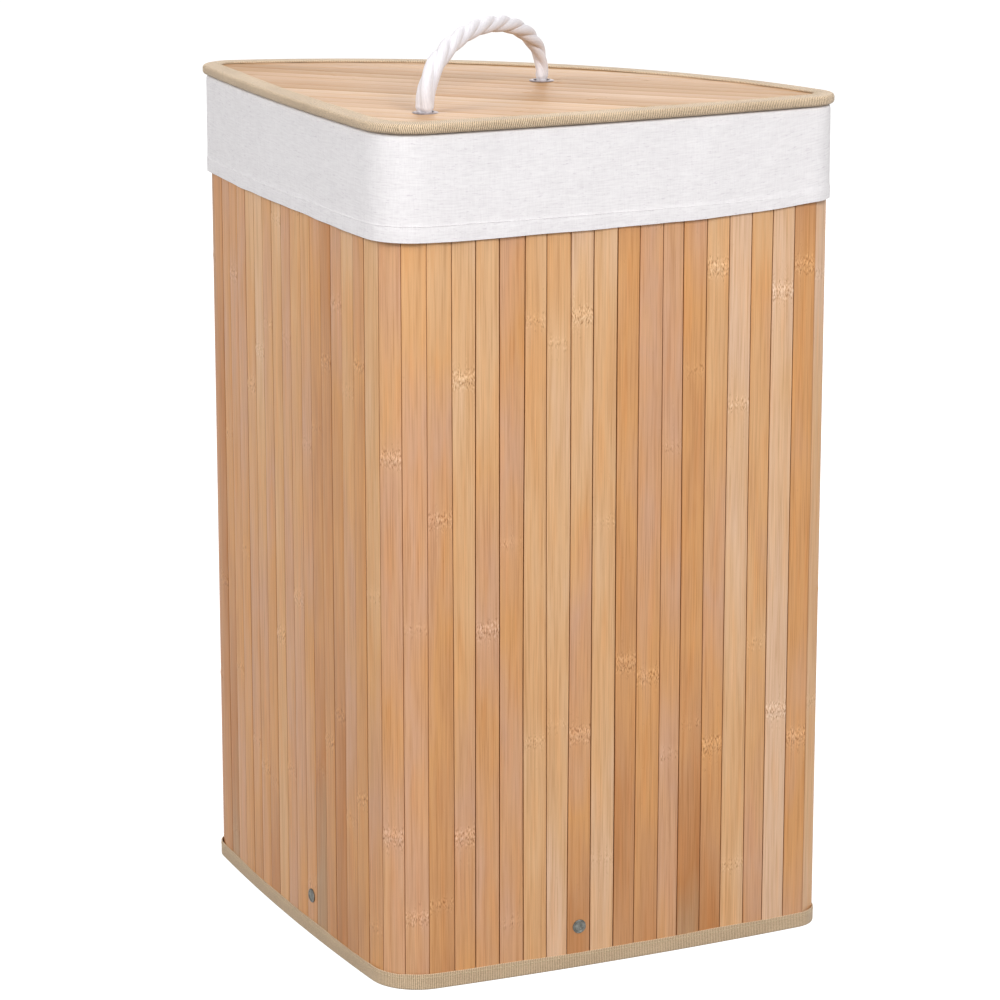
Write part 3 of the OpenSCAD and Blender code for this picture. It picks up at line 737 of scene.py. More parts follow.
stitch_spacing, stitch_thread = 2.9 * MM, 0.55 * MM
seam_height = tape_height - 2.8 * MM
base_seam, rim_seam, inner_seam = (
    stitches(stitch_spacing, off, z, stitch_thread, lay) for off, z, lay in (
        (tape_thick, seam_height, place), (tape_thick, rim_high - seam_height, place),
        (wall_inside - tape_thick - 0.05 * MM, seam_height, facet)))
make_piece("tape_stitches", [base_seam, rim_seam, inner_seam], tan_thread, "wall_unit")
print("base tape is", round(tape_height / MM, 1), "mm high, stitched every", stitch_spacing / MM, "mm")

# %% [markdown]
# ## Cloth behind the slats and the strip over its joint
# The slats are glued edge to edge on a cloth, which acts as a hinge at every seam; that is what lets a flat mat
# bend round corners. Its two ends meet at one seam inside the front, under a strip of the same webbing.
# Both are thin closed tubes along the flat-sided plan.

# %% Backing cloth and joint strip
rows = np.linspace(slat_bottom, slat_top, 9)
off = np.repeat([-slat_thick, wall_inside], 9)
z = np.concatenate([rows, rows[::-1]])
piece = make_piece("backing_cloth", [carried(run_round(2), off, z, facet)], backing_weave, "wall_unit",
                   30)
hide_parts("wall_backing")

joint_low, joint_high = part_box("mat_joint_strip")
joint_seam = int(np.searchsorted(seams, STARTS[3], side="right")) + 1
strip_run = seams[joint_seam] + np.linspace(-15, 15, 25) * MM
strip_thick = 0.6 * MM
rows = np.linspace(joint_low[2], joint_high[2], 40)
z = np.concatenate([rows, rows[::-1]])
off = wall_inside - np.repeat([0.0, strip_thick], 40)
patch = carried(strip_run, off, z, facet, closed=False)
piece = make_piece("mat_joint_webbing", [patch], tan_webbing, "wall_unit")
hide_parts("mat_joint_strip")


# %% [markdown]
# ## Base board
# A hard fibreboard closes the bottom. Its rim is bound with the same tape, and three short webbing tabs stand
# up from it, each with half a snap, so the board can be taken out and the mat folded flat. The board is the
# plan moved inward; its flat faces are grids from a middle line out to the rim.

# %% Fibreboard
def fibreboard(name):
    """Pressed wood fibre: brown felt of short fibres in every direction, smooth from the press."""
    material, tree = new_material(name)
    felt = add_node(tree, "Math", "ADD", grain(tree, 0.8 * MM, 6 * MM, 1.1, 3.0, 0.6),
                    grain(tree, 6 * MM, 0.8 * MM, 5.1, 3.0, 0.6))
    cloudy = grain(tree, 40 * MM, 40 * MM, 2.1, 3.0)
    shade = add_node(tree, "Math", "MULTIPLY_ADD", cloudy, 0.5, add_node(tree, "Math", "MULTIPLY", felt, 0.4))
    stops = [(0.35, linear("6f4a2c")), (0.6, linear("9a6f48")), (0.9, linear("b98e63"))]
    colour = add_node(tree, "ValToRGB", {"stops": stops}, shade)
    dress(tree, colour, shade, 0.2, 0.2 * MM, {"Roughness": 0.6})
    return material


# %% [markdown]
# A flat plate in the shape of the plan is two faces and the rim between them. The base board is one, and so is
# the cloth under the lid. Rings of quads that shrink to the middle keep the shading even.

# %% Base board
def plate(s, off, low, high, lay, rings, shift=(0, 0)):
    """Patch of a plate from low to high: the plan moved by off, each face in rings that shrink to the middle."""
    core = np.array([0.0, 0.03, 0.0])
    share = (np.linspace(0, 1, rings) ** 0.8)[None, :, None]
    flat = lay(s, off, 0.0)
    face = flat[:, None, :] * (1 - share) + core * share
    face[:, -1] = core + (flat - core) * 0.02
    points = np.concatenate([face[:, ::-1] + [0, 0, low], face + [0, 0, high]], 1)
    flat_uv = np.concatenate([face, face[:1]])[..., :2]
    uv = np.concatenate([flat_uv[:, ::-1], flat_uv + shift], 1)
    middles = [(np.arange(len(s))[None, :] * 2 * rings + end, uv[None, :-1, end]) for end in (0, 2 * rings - 1)]
    return points, [quads(points, uv, close_rows=True)] + middles, {}


board_low, board_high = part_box("base_board")
edge_low, edge_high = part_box("board_edge_tape")
board_edge = wall_inside - 1.1 * MM
hardboard = fibreboard("pressed_hardboard")
board_run = run_round(3)
patch = plate(board_run, board_edge - tape_thick, board_low[2], board_high[2], facet, 8, (0.9, 0.4))
piece = make_piece("hardboard_base", [patch], hardboard, "wall_unit", 30)
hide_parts("base_board")

leg_u, leg_v = folded_tape(9 * MM, float(edge_high[2] - edge_low[2]), tape_thick, 1.0 * MM)
patch = carried(board_run, board_edge - leg_u, edge_low[2] + leg_v, facet)
piece = make_piece("board_edge_webbing", [patch], tan_webbing, "wall_unit")
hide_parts("board_edge_tape")


# %% [markdown]
# ## Tabs and snaps
# Each snap has four parts in line: a domed cap outside the slat, a stud behind the cloth, a socket on the tab and
# a rivet behind that. All are round, so each is a profile turned about its axis. A small frame of axes at
# each snap slat carries them, with the third axis pointing out of the wall.

# %% Turned metal parts
def nickel(name, pale, dark, roughness):
    """Nickel-plated steel, brushed round its axis, with a little tarnish in soft random patches."""
    material, tree = new_material(name)
    brushed = grain(tree, 4 * MM, 0.15 * MM, 0.4, 2.0, 0.6)
    stain = grain(tree, 3 * MM, 3 * MM, 3.4)
    shade = add_node(tree, "Math", "MULTIPLY_ADD", stain, 0.7, add_node(tree, "Math", "MULTIPLY", brushed, 0.4))
    colour = add_node(tree, "ValToRGB", {"stops": [(0.35, linear(dark)), (0.75, linear(pale))]}, shade)
    dress(tree, colour, brushed, 0.15, 0.1 * MM, {"Metallic": 1.0, "Roughness": roughness})
    return material


def turned(origin, axes, radius, height, steps=48):
    """Closed ring of a profile (radius, height) turned about the third axis at each origin."""
    angle = np.linspace(0, 2 * math.pi, steps, endpoint=False)
    a, b, axis = (axes[:, None, None, i] for i in range(3))
    r, h = (np.asarray(v)[None, None, :, None] for v in (radius, height))
    c, s = (f(angle)[None, :, None, None] for f in (np.cos, np.sin))
    points = origin[:, None, None] + a * r * c + b * r * s + axis * h + 0 * r
    ring = np.append(np.stack([radius, height], -1), [[radius[0], height[0]]], 0)
    v = path_length(ring)
    u = np.append(angle, 2 * math.pi) * max(radius)
    uv = np.stack(np.broadcast_arrays(u[:, None], v[None]), -1)
    uv = np.broadcast_to(uv, (len(origin),) + uv.shape)
    return points, [quads(points, uv, close_rows=True, close_columns=True)], {}


# %% [markdown]
# The profiles below are given in millimetres as radius and height along the snap's axis, from the inner end
# round to the outer one. A solid part starts and ends at a tiny radius, so its middle stays closed.

# %% Snaps
snap_nickel = nickel("brushed_nickel_snap", "8f918d", "565751", 0.55)
snap_height, snap_inset = 30 * MM, 129 * MM
snap_slats = [int((s - seam_shift) // pitch) for s in (snap_inset, AROUND / 2, AROUND - snap_inset)]
snap_origin = (first + last)[snap_slats] / 2 + [0, 0, snap_height]
snap_axes = np.stack([slat_across[snap_slats], up[snap_slats], slat_out[snap_slats]], 1)
centre_line = 0.02
profiles = {
    "snap_caps": ([centre_line, 1.2, 1.2, 4.9, 5.0, 4.95, 4.5, 4.0, 3.7, 3.3, 2.0, centre_line],
                  [-3.6, -3.6, 0.15, 0.15, 0.35, 0.75, 1.1, 1.18, 1.0, 0.72, 0.78, 0.82]),
    "snap_studs": ([centre_line, 5, 5, 4.8, 2.3, 2.3, 1.9, centre_line],
                   [-3.62, -3.62, -3.9, -4.2, -4.2, -5.6, -5.9, -5.9]),
    "snap_sockets": ([2.45, 4.7, 5, 5, 4.7, 2.45], [-4.45, -4.45, -4.7, -5.7, -5.98, -5.98]),
    "socket_rivets": ([centre_line, 1.2, 1.2, 4.8, 5, 4.6, 2.5, centre_line],
                      [-6, -6, -7.02, -7.02, -7.25, -7.55, -7.6, -7.6])}
for node, (radius, height) in profiles.items():
    patch = turned(snap_origin, snap_axes, np.array(radius) * MM, np.array(height) * MM)
    piece = make_piece(node + "_nickel", [patch], snap_nickel, "wall_unit", 35)
    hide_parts(node)

# %% [markdown]
# A tab is a short piece of webbing sewn to the board that turns up against the wall. It is drawn from the side as
# a flat foot, a quarter-round bend and an upright, given its thickness along its normals and carried across
# its width.

# %% Webbing tabs
tab_width, tab_face, tab_thick = 20 * MM, 6 * MM, 1 * MM
tab_foot, tab_rise = 35 * MM, 33.2 * MM
board_top = float(board_high[2])
bend = np.radians(np.linspace(0, 90, 6))
curl = 2.2 * MM
along_board = np.linspace(0, tab_foot - curl, 12)
rise = np.linspace(0, tab_rise - curl, 12)[1:]
depth = np.concatenate([tab_foot - along_board, curl * (1 - np.sin(bend[1:])), 0 * rise])
lift = np.concatenate([0 * along_board, curl * (1 - np.cos(bend[1:])), curl + rise])
normal_x = np.concatenate([0 * along_board, np.sin(bend[1:]), 1 + 0 * rise])
normal_z = np.concatenate([1 + 0 * along_board, np.cos(bend[1:]), 0 * rise])
side = np.linspace(-tab_width / 2, tab_width / 2, 9)
sheet_x = np.concatenate([depth, (depth + tab_thick * normal_x)[::-1]])
sheet_z = np.concatenate([lift, (lift + tab_thick * normal_z)[::-1]])
tab_patches = []
ring = np.stack([np.append(sheet_x, sheet_x[0]), np.append(sheet_z, sheet_z[0])], -1)
for k, slat in enumerate(snap_slats):
    base = (first + last)[slat] / 2 - slat_out[slat] * tab_face
    points = (base + slat_across[slat] * side[:, None, None] - slat_out[slat] * sheet_x[None, :, None]
              + up[slat] * (board_top + sheet_z)[None, :, None])
    uv = np.stack(np.broadcast_arrays(path_length(ring)[None, :] + 0.3 * k, side[:, None]), -1)
    tab_patches.append((points, [quads(points, uv, close_columns=True)] + end_caps(points[None], uv[None]), {}))
piece = make_piece("webbing_tabs", tab_patches, tan_webbing, "wall_unit")
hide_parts("base_tabs")
print("snaps on slats", snap_slats, "at", round(snap_height / MM), "mm")

# %% [markdown]
# ## Bag and cuff
# The bag is sewn from a wall and a floor, a little longer than the mat is high, so it hangs slack with soft
# upright folds and a rumpled bottom. Its top is turned down over the rim as a cuff with a stitched hem. Cloth
# this light is shaped by its sewing more than by its weight, so the surface is written as a sum of a few
# seeded waves, which grow with the distance from where the cloth is held. The cuff lies close to the slats
# at the top, puckers along its hem and stands out a little at its lower edge.

# %% Slack cloth
def ripples(s, z, seed, waves, short, long):
    """Sum of seeded waves round the wall that drift with height; values about -1 to 1, periodic in s."""
    draw = np.random.default_rng(seed)
    total = 0
    for _ in range(waves):
        cycles = round(AROUND / draw.uniform(short, long))
        lean, phase, size = draw.uniform(-3, 3), draw.uniform(0, 6.28), draw.uniform(0.4, 1)
        total = total + size * np.sin(2 * math.pi * cycles * s / AROUND + lean * z / 0.3 + phase)
    return total / math.sqrt(waves) / 0.9


def smooth_step(value, low, high):
    """0 below low, 1 above high, 3t^2 - 2t^3 between."""
    t = np.clip((value - low) / (high - low), 0, 1)
    return t * t * (3 - 2 * t)


# %% [markdown]
# The inner face of the cuff's cloth runs up inside the bag, over the rim in an arch and down outside the slats.
# That path is worked out first. Three masks say which part of it each row belongs to.

# %% Path of the cuff over the rim
cuff_low, cuff_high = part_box("liner_cuff")
cuff_top, cuff_bottom = float(cuff_high[2]), float(cuff_low[2])
cloth_thick = 0.7 * MM
fine_run = run_round(14)
S = fine_run[:, None]
raised_corner, tight_corner = ((STARTS[[2, 4]] + STARTS[[3, 5]]) / 2).tolist()

inside_off, outside_off = -8.3 * MM, 0.9 * MM
rim_z = cuff_top - 1.05 * MM
inside_rows, arch_rows, down_rows = 8, 13, 30
arch = np.radians(np.linspace(180, 0, arch_rows))
arch_off = ((inside_off + outside_off) / 2
            + (outside_off - inside_off) / 2 * np.sign(np.cos(arch)) * np.abs(np.cos(arch)) ** 0.45)
arch_z = rim_z - 3.0 * MM * (1 - np.sin(arch) ** 0.7)
arch_foot = rim_z - 4.5 * MM
down = np.linspace(arch_foot, cuff_bottom, down_rows)
up_inside = np.linspace(cuff_top - 30 * MM, arch_foot, inside_rows)
path_off = np.concatenate([np.full(inside_rows, inside_off), arch_off, np.full(down_rows, outside_off)])
path_z = np.concatenate([up_inside, arch_z, down])
inside, _, outside = (np.repeat(where, (inside_rows, arch_rows, down_rows)) for where in np.eye(3))
arch_cos, arch_sin = (np.concatenate([np.zeros(inside_rows), f(arch), np.zeros(down_rows)])
                      for f in (np.cos, np.sin))

# %% [markdown]
# Below the rim the cloth is slack: it swings in broad waves, puckers along the hem and creases a little. The outer
# face lies a cloth's thickness off, with a thicker hem and a groove along its stitches. The lower edge is
# never level, since the cuff is turned down by hand.

# %% Waves and hem of the cuff
drop = smooth_step(rim_z - path_z, 0, 0.07) * outside
tight = 1 - 0.85 * np.exp(-((S - tight_corner) / 0.06) ** 2)
slack = (0.3 * MM + 0.8 * MM * drop) * tight
swing = ripples(S, path_z, 3, 7, 0.035, 0.16)
pucker = ripples(S, path_z, 5, 6, 0.007, 0.015) * np.exp(-((path_z - cuff_bottom - 10.5 * MM) / (4.5 * MM)) ** 2)
stand = np.maximum(slack * (0.55 + 0.45 * swing) + 0.16 * MM * pucker, 0)
crease = ripples(S, path_z, 9, 4, 0.02, 0.05) * 0.12 * MM * smooth_step(path_z, cuff_bottom + 0.02, rim_z)
near_off = path_off + (stand + crease) * outside

hem_height, hem_spacing = cuff_bottom + 9.6 * MM, 3 * MM
rounded = arch_cos * np.where(arch_cos > 0, cloth_thick, 0.55 * cloth_thick)
far_off = near_off + cloth_thick * outside - 0.55 * MM * inside + rounded
far_z = path_z + 0.98 * MM * arch_sin
hem = smooth_step(cuff_bottom + 11.2 * MM - path_z, 0, 0.9 * MM)
groove = np.exp(-((path_z - hem_height) / (0.7 * MM)) ** 2) * (0.6 + 0.4 * np.sin(2 * math.pi * S / hem_spacing))
far_off = far_off + (0.4 * MM * hem - 0.15 * MM * groove) * outside

# the lower edge rises at one corner, where the cloth is turned up higher, and hangs lowest near the back
from_back = np.mod(S + AROUND / 2, AROUND) - AROUND / 2
hem_wave = (0.8 * MM + 0.5 * MM * ripples(S, 0, 21, 5, 0.04, 0.2)
            + 5.6 * MM * np.exp(-((S - raised_corner) / 0.05) ** 2)
            - 1.7 * MM * np.exp(-((from_back - 0.04) / 0.11) ** 2))
lift_edge = hem_wave * smooth_step(cuff_bottom + 0.03 - path_z, 0, 0.03) * outside
near_z, far_z = path_z + lift_edge, far_z + lift_edge
hem_ends = [round(float(pick(near_z[:, -1])) / MM, 1) for pick in (np.min, np.max)]
print("the cuff's lower edge lies", hem_ends, "mm up")

# %% [markdown]
# The cuff is one closed cloth with its hem stitches on the outer face.

# %% Cuff and its hem stitches
def follow_cuff(s, off, z):
    """Smooth outside the rim, flat-sided inside the bag, and a blend between over the rim."""
    share = smooth_step(off, -7 * MM, 0.5 * MM)[..., None]
    return place(s, off, z) * share + facet(s, off, z) * (1 - share)


patch = carried(fine_run, np.concatenate([near_off, far_off[:, ::-1]], 1),
                np.concatenate([near_z, far_z[:, ::-1]], 1), follow_cuff)
cuff = make_piece("cotton_cuff", [patch], white_cloth, "liner_bag", 60)
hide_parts("liner_cuff")
first_outside = inside_rows + arch_rows
hem_row = first_outside + int(np.argmin(np.abs(path_z[first_outside:] - hem_height)))


def on_cuff(s, off, z):
    """Places hem stitches on the waving outer face of the cuff."""
    face = np.interp(s.ravel() % AROUND, fine_run % AROUND, far_off[:, hem_row], period=AROUND)
    return place(s, face.reshape(s.shape) + off, z)


hem_seam = stitches(hem_spacing, 0.05 * MM, hem_height + 0.6 * MM, 0.35 * MM, on_cuff)
hem_thread = make_piece("hem_stitches", [hem_seam], white_thread, "liner_bag")

# %% [markdown]
# The bag hangs from the rim. Its cloth lies against the wall at the top and grows looser with depth, and near the
# bottom it rumples and turns inward on to the board. Wall and floor are one surface, so no seam opens between.

# %% Bag wall
floor_low = float(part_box("liner_floor")[0][2])
bag_top = float(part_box("liner_wall")[1][2]) - 2 * MM
bag_run = run_round(6)
S = bag_run[:, None]
heights = bag_top - np.concatenate([np.linspace(0, 0.04, 4), np.linspace(0.05, bag_top - floor_low - 0.04, 46)])
turn = np.radians(np.linspace(0, 90, 8)[1:])
toe, floor_lift = 16 * MM, 1.4 * MM
toe_off = -toe * (1 - np.cos(turn))
toe_z = floor_low + floor_lift + toe * (1 - np.sin(turn))
wall_z = np.concatenate([heights[heights > toe_z[0] + 4 * MM], toe_z])
wall_off = np.concatenate([np.zeros(len(wall_z) - len(turn)), toe_off])
looseness = smooth_step(bag_top - wall_z, 0.015, 0.18)
folds = ripples(S, wall_z, 31, 7, 0.05, 0.17)
small = ripples(S, wall_z * 3, 32, 6, 0.02, 0.06)
near_floor = smooth_step(0.11 - wall_z, 0, 0.1)
rumple = ripples(S, wall_z * 14, 33, 6, 0.04, 0.12) * near_floor
sag = 4.2 * MM * np.clip(0.6 + 0.5 * folds, 0, 2) + 0.7 * MM * np.clip(1 + small, 0, 2)
bag_off = -8.7 * MM + wall_off - looseness * sag - 2.0 * MM * np.clip(1 + rumple, 0, 2) * near_floor
wall_points = follow_cuff(S, bag_off, np.broadcast_to(wall_z, bag_off.shape))
print("bag wall has", wall_points.shape[0], "columns and", wall_points.shape[1], "rows")

# %% [markdown]
# The floor of the bag lies on the board in low ridges. Rings shrink from the foot of the wall to a middle point.

# %% Bag floor
def floor_shape(points):
    """Height of the bag's floor: flat on the board with low ridges where the slack cloth gathers."""
    x, y = points[..., 0], points[..., 1]
    draw = np.random.default_rng(41)
    ridge = 0
    for _ in range(9):
        angle, size, phase = draw.uniform(0, 3.14), draw.uniform(0.03, 0.09), draw.uniform(0, 6.28)
        ridge = ridge + np.sin(2 * math.pi * (x * math.cos(angle) + y * math.sin(angle)) / size + phase)
    return floor_low + floor_lift + 1.1 * MM * np.clip(ridge / 3, 0, 2)


core = np.array([0.0, 0.02, 0.0])
share = np.linspace(0, 1, 18)[1:, None]
rim_points = wall_points[:, -1:, :]
floor_points = rim_points * (1 - share) + core * share
floor_points[:, -1] = core + (rim_points[:, 0] - core) * 0.01
flat_share = smooth_step(share[:, 0], 0, 0.12)
floor_points[..., 2] = (rim_points[..., 2] * (1 - flat_share) + floor_shape(floor_points) * flat_share)
surface = np.concatenate([wall_points, floor_points], 1)
run_down = path_length(surface)
down_uv = np.concatenate([run_down, run_down[:1]])
uv_in = np.stack([np.broadcast_to(np.append(bag_run, bag_run[0] + AROUND)[:, None], down_uv.shape), down_uv], -1)
wall_rows = wall_points.shape[1]
uv_in[:, wall_rows:] = np.concatenate([floor_points, floor_points[:1]])[..., :2] + [2.0, 0.0]
print("from rim to middle the cloth runs", round(float(run_down[:, -1].mean()) / MM), "mm")

# %% [markdown]
# So far the bag has no thickness. A second surface is laid 0.6 mm behind the first along its normals, the cross
# product of its two directions, and both are joined at the rim and in the middle of the floor. Solidify could do
# this too, but here the cloth must not grow outwards into the slats.

# %% Closing the bag's cloth
bag_thick = 0.6 * MM
tangent_s = np.roll(surface, -1, 0) - np.roll(surface, 1, 0)
tangent_v = np.gradient(surface, axis=1)
normal = np.cross(tangent_v, tangent_s)
normal = normal / np.maximum(np.linalg.norm(normal, axis=-1, keepdims=True), 1e-12)
normal[:, -2:] = [0, 0, 1]
back = surface - normal * bag_thick
closed_points = np.concatenate([surface, back[:, ::-1]], 1)
closed_uv = np.concatenate([uv_in, uv_in[:, ::-1]], 1)
closed_uv = np.concatenate([closed_uv, closed_uv[:, :1]], 1)
last_row = surface.shape[1] - 1
middle_ring = np.arange(len(bag_run))[None, :] * closed_points.shape[1] + last_row
middle_uv = closed_uv[None, :-1, last_row]
faces, corners = quads(closed_points, closed_uv, close_rows=True, close_columns=True)
faces, corners = faces.reshape(len(bag_run), -1, 4), corners.reshape(len(bag_run), -1, 4, 2)
keep = np.arange(faces.shape[1]) != last_row
patch = (closed_points, [(faces[:, keep].reshape(-1, 4), corners[:, keep].reshape(-1, 4, 2)),
                         (middle_ring, middle_uv), (middle_ring + 1, middle_uv)], {})
bag = make_piece("cotton_bag", [patch], white_cloth, "liner_bag", 80)
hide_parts("liner_wall", "liner_floor")

# %% [markdown]
# ## Lid
# Eighteen paler slats run from side corner to side corner and are cut to the plan, with cloth glued beneath
# them and tape folded over the edge. The same strip function makes them: their length now lies along X, and
# each section corner gets its own two ends from the outline's half width at that depth. Their letters for the
# tone are the wall's, spread over the lid's own shorter list of colours.

# %% Lid slats
lid_low, lid_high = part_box("lid_slats")
binding_low, binding_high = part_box("lid_binding")
overhang, lid_edge, lid_count = 4.2 * MM, 3.1 * MM, 18
half = np.linspace(0, AROUND / 2, 1500)
rim = place(half, lid_edge - 0.3 * MM)[::-1]


def half_width_at(depth):
    """Half the lid's width at a place along Y, from the smooth outline."""
    return np.interp(depth, rim[:, 1], -rim[:, 0])


lid_depth = float(rim[-1, 1] - rim[0, 1]) + 0.6 * MM
lid_pitch = lid_depth / lid_count
centre_y = (np.arange(lid_count) + 0.5) * lid_pitch - lid_depth / 2
draw = np.random.default_rng(12)
cut = np.append(draw.uniform(-0.5, 0.5, lid_count), 0) * MM
cut[0] = 0
lid_width = np.full(lid_count, lid_pitch) - 0.12 * MM + np.diff(cut)
centre_y = centre_y + (cut[1:] + cut[:-1]) / 2
lid_thick = float(lid_high[2] - lid_low[2]) - CROWN - 0.1 * MM
x, y = section(lid_width, lid_width - 0.4 * MM, lid_thick, 0.2 * MM)
high = np.maximum(half_width_at(centre_y[:, None] + x), 2 * MM)
lid_tones = np.array([[tone_of[letter] for letter in "rplgrotlgowpllwpwt"]] * 2)
lid_knuckles = np.stack([draw.uniform(-0.21, -0.02, lid_count), draw.uniform(0.08, 0.23, lid_count)], 1)
n = lid_count
lid_ways = np.stack([np.full(n + 1, 0.15 * MM), draw.uniform(0.3, 1.2, n + 1), draw.uniform(0, 6.3, n + 1),
                     draw.uniform(-0.8, 0.8, n + 1) * MM], 1)
top = float(lid_high[2])
origin = np.stack([np.zeros(n), centre_y, top - CROWN - draw.uniform(0, 0.12, n) * MM], 1)
lid_axes = (np.tile(axis, (n, 1)) for axis in ([0.0, 1.0, 0.0], [0.0, 0.0, 1.0], [1.0, 0.0, 0.0]))
patch = strips(origin, *lid_axes, x, y, -high, high, lid_knuckles, draw.uniform(0.05, 0.2, (n, 2)) * MM,
               lid_tones, (lid_ways[:-1], lid_ways[1:]))
lid_slats = make_piece("lid_bamboo_slats", [patch], lid_bamboo, "lid", 50)
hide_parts("lid_slats")

# %% [markdown]
# A cloth in the shape of the plan is glued under the lid's slats and keeps them together.

# %% Cloth under the lid
patch = plate(run_round(4), lid_edge, binding_low[2] + 1.1 * MM, lid_low[2], place, 10)
lid_cloth = make_piece("lid_backing_cloth", [patch], backing_weave, "lid", 30)
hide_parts("lid_backing")

# %% [markdown]
# The rope needs two holes through slats and cloth. They are drilled with a round cutter, as on the real lid, which
# is easier than planning the slat grids round them.

# %% Drilling the lid
eyelet_setback, eyelet_span = 69 * MM, 171 * MM
handle_turn = math.radians(7.5)
handle_way = np.array([math.sin(handle_turn), math.cos(handle_turn), 0])
handle_start = np.array([0, -float(middle[1]) - eyelet_setback, 0])
eyelet_origin = np.array([handle_start, handle_start - eyelet_span * handle_way])
handle_middle = eyelet_origin.mean(0)
upright = np.tile(np.eye(3)[None], (2, 1, 1))


def drill(piece, radius):
    """Cuts round holes of this radius through a piece at both eyelets."""
    tool = bmesh.new()
    for x, y, _ in eyelet_origin:
        made = bmesh.ops.create_cone(tool, cap_ends=True, segments=48, radius1=radius, radius2=radius, depth=0.05)
        bmesh.ops.translate(tool, verts=made["verts"], vec=(x, y, float(lid_low[2])))
    mesh = bpy.data.meshes.new("drill")
    tool.to_mesh(mesh)
    tool.free()
    cutter = bpy.data.objects.new("drill", mesh)
    bpy.context.scene.collection.objects.link(cutter)
    cut = piece.modifiers.new("drill", "BOOLEAN")
    cut.object, cut.operation, cut.solver = cutter, "DIFFERENCE", "EXACT"
    shape = bpy.data.meshes.new_from_object(piece.evaluated_get(bpy.context.evaluated_depsgraph_get()))
    piece.modifiers.clear()
    piece.data = shape
    bpy.data.objects.remove(cutter)
    print(piece.name, "drilled, now", len(shape.polygons), "faces")


rope_hole = 6.2 * MM
for piece in (lid_slats, lid_cloth):
    drill(piece, rope_hole)

# %% [markdown]
# The lid's tape is wider than the wall's and has a rounder fold. It is sewn through near its free ends, so a row of
# stitches shows above and below.

# %% Tape round the lid
lid_tape_leg = 14 * MM
lid_seam_off = overhang - lid_tape_leg + 2.1 * MM
leg_u, leg_v = folded_tape(lid_tape_leg, float(binding_high[2] - binding_low[2]), 1.0 * MM, 2.2 * MM)
wavy = 0.3 * MM * np.sin(run / 0.023) + 0.25 * MM * np.sin(run / 0.0101 + 2)
free_end = (leg_u > lid_tape_leg * 0.9)[None, :] * wavy[:, None]
patch = carried(run, overhang - leg_u - free_end, binding_low[2] + leg_v)
binding = make_piece("lid_binding_tape", [patch], lid_webbing, "lid")
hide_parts("lid_binding")
top_seam, low_seam = (stitches(stitch_spacing, lid_seam_off, z, stitch_thread, place, upright=True)
                      for z in (binding_high[2] - 0.05 * MM, binding_low[2] + 0.3 * MM))
make_piece("lid_tape_stitches", [top_seam, low_seam], tan_thread, "lid")
print("lid is", round(2 * float(high.max()) / MM), "mm wide and", round(lid_depth / MM), "mm deep")

# %% [markdown]
# ## Eyelets, knots and rope
# A twisted cotton rope passes through two nickel eyelets and is knotted below the lid. An eyelet is a rolled
# collar above and a washer below, both turned, like the snaps, from a profile of radius and height.

# %% Eyelets
eyelet_nickel = nickel("polished_nickel_eyelet", "d4cacb", "a89fa1", 0.55)
under = float(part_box("eyelets")[0][2])
radius = np.array([5.55, 5.75, 6.3, 7.2, 8.2, 8.7, 8.7, 8.5, 6.1, 6.1, 5.55]) * MM
height = np.append(top + np.array([0.2, 0.62, 0.8, 0.72, 0.45, 0.2, 0.05, 0.0, 0.0]) * MM, [under, under])
piece = make_piece("nickel_eyelets", [turned(eyelet_origin, upright, radius, height, 64)], eyelet_nickel, "lid",
                   35)
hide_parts("eyelets")
radius = np.array([6.25, 8.5, 8.7, 8.7, 8.4, 6.25]) * MM
height = under + np.array([0.8, 0.8, 0.7, 0.2, 0.0, 0.0]) * MM
piece = make_piece("nickel_washers", [turned(eyelet_origin, upright, radius, height, 64)], eyelet_nickel, "lid",
                   35)
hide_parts("eyelet_washers")


# %% [markdown]
# Rope cotton is dull and soft. Its yarns run along each strand about a millimetre apart, with short fuzz over
# them, and sheen gives the pale edge of loose fibres. The hollows between the yarns get painted grey shade.

# %% Cotton yarn
def cotton_yarn(name):
    """Soft spun cotton: fine yarns that run along each strand, off-white with faint grey painted shade in the
    hollows.
    """
    material, tree = new_material(name)
    yarns = add_node(tree, "Math", "MULTIPLY", grain(tree, 0.9 * MM, 20 * MM, 1.9, 3.0, 0.6), 0.65)
    fuzz = grain(tree, 0.6 * MM, 2.5 * MM, 6.9, 3.0, 0.7)
    shade = add_node(tree, "Math", "MULTIPLY_ADD", fuzz, 0.35, yarns)
    # the grey first stop falls where the yarn relief is lowest: painted shade in the hollows
    stops = [(0.3, linear("cfccd2")), (0.5, linear("e5e1e5")), (0.75, linear("f0edf0"))]
    colour = add_node(tree, "ValToRGB", {"stops": stops}, shade)
    dress(tree, colour, shade, 0.45, 0.6 * MM, {"Roughness": 0.95, "Sheen Weight": 0.3, "Sheen Roughness": 0.5})
    return material


rope_cotton = cotton_yarn("twisted_cotton_rope")


# %% [markdown]
# A three-strand rope is three equal coils about one middle line, each coil turned a third of a turn from the
# next. The strands are grids carried along their own coils, with a section a little wider than it is tall,
# because neighbours press each other flat.

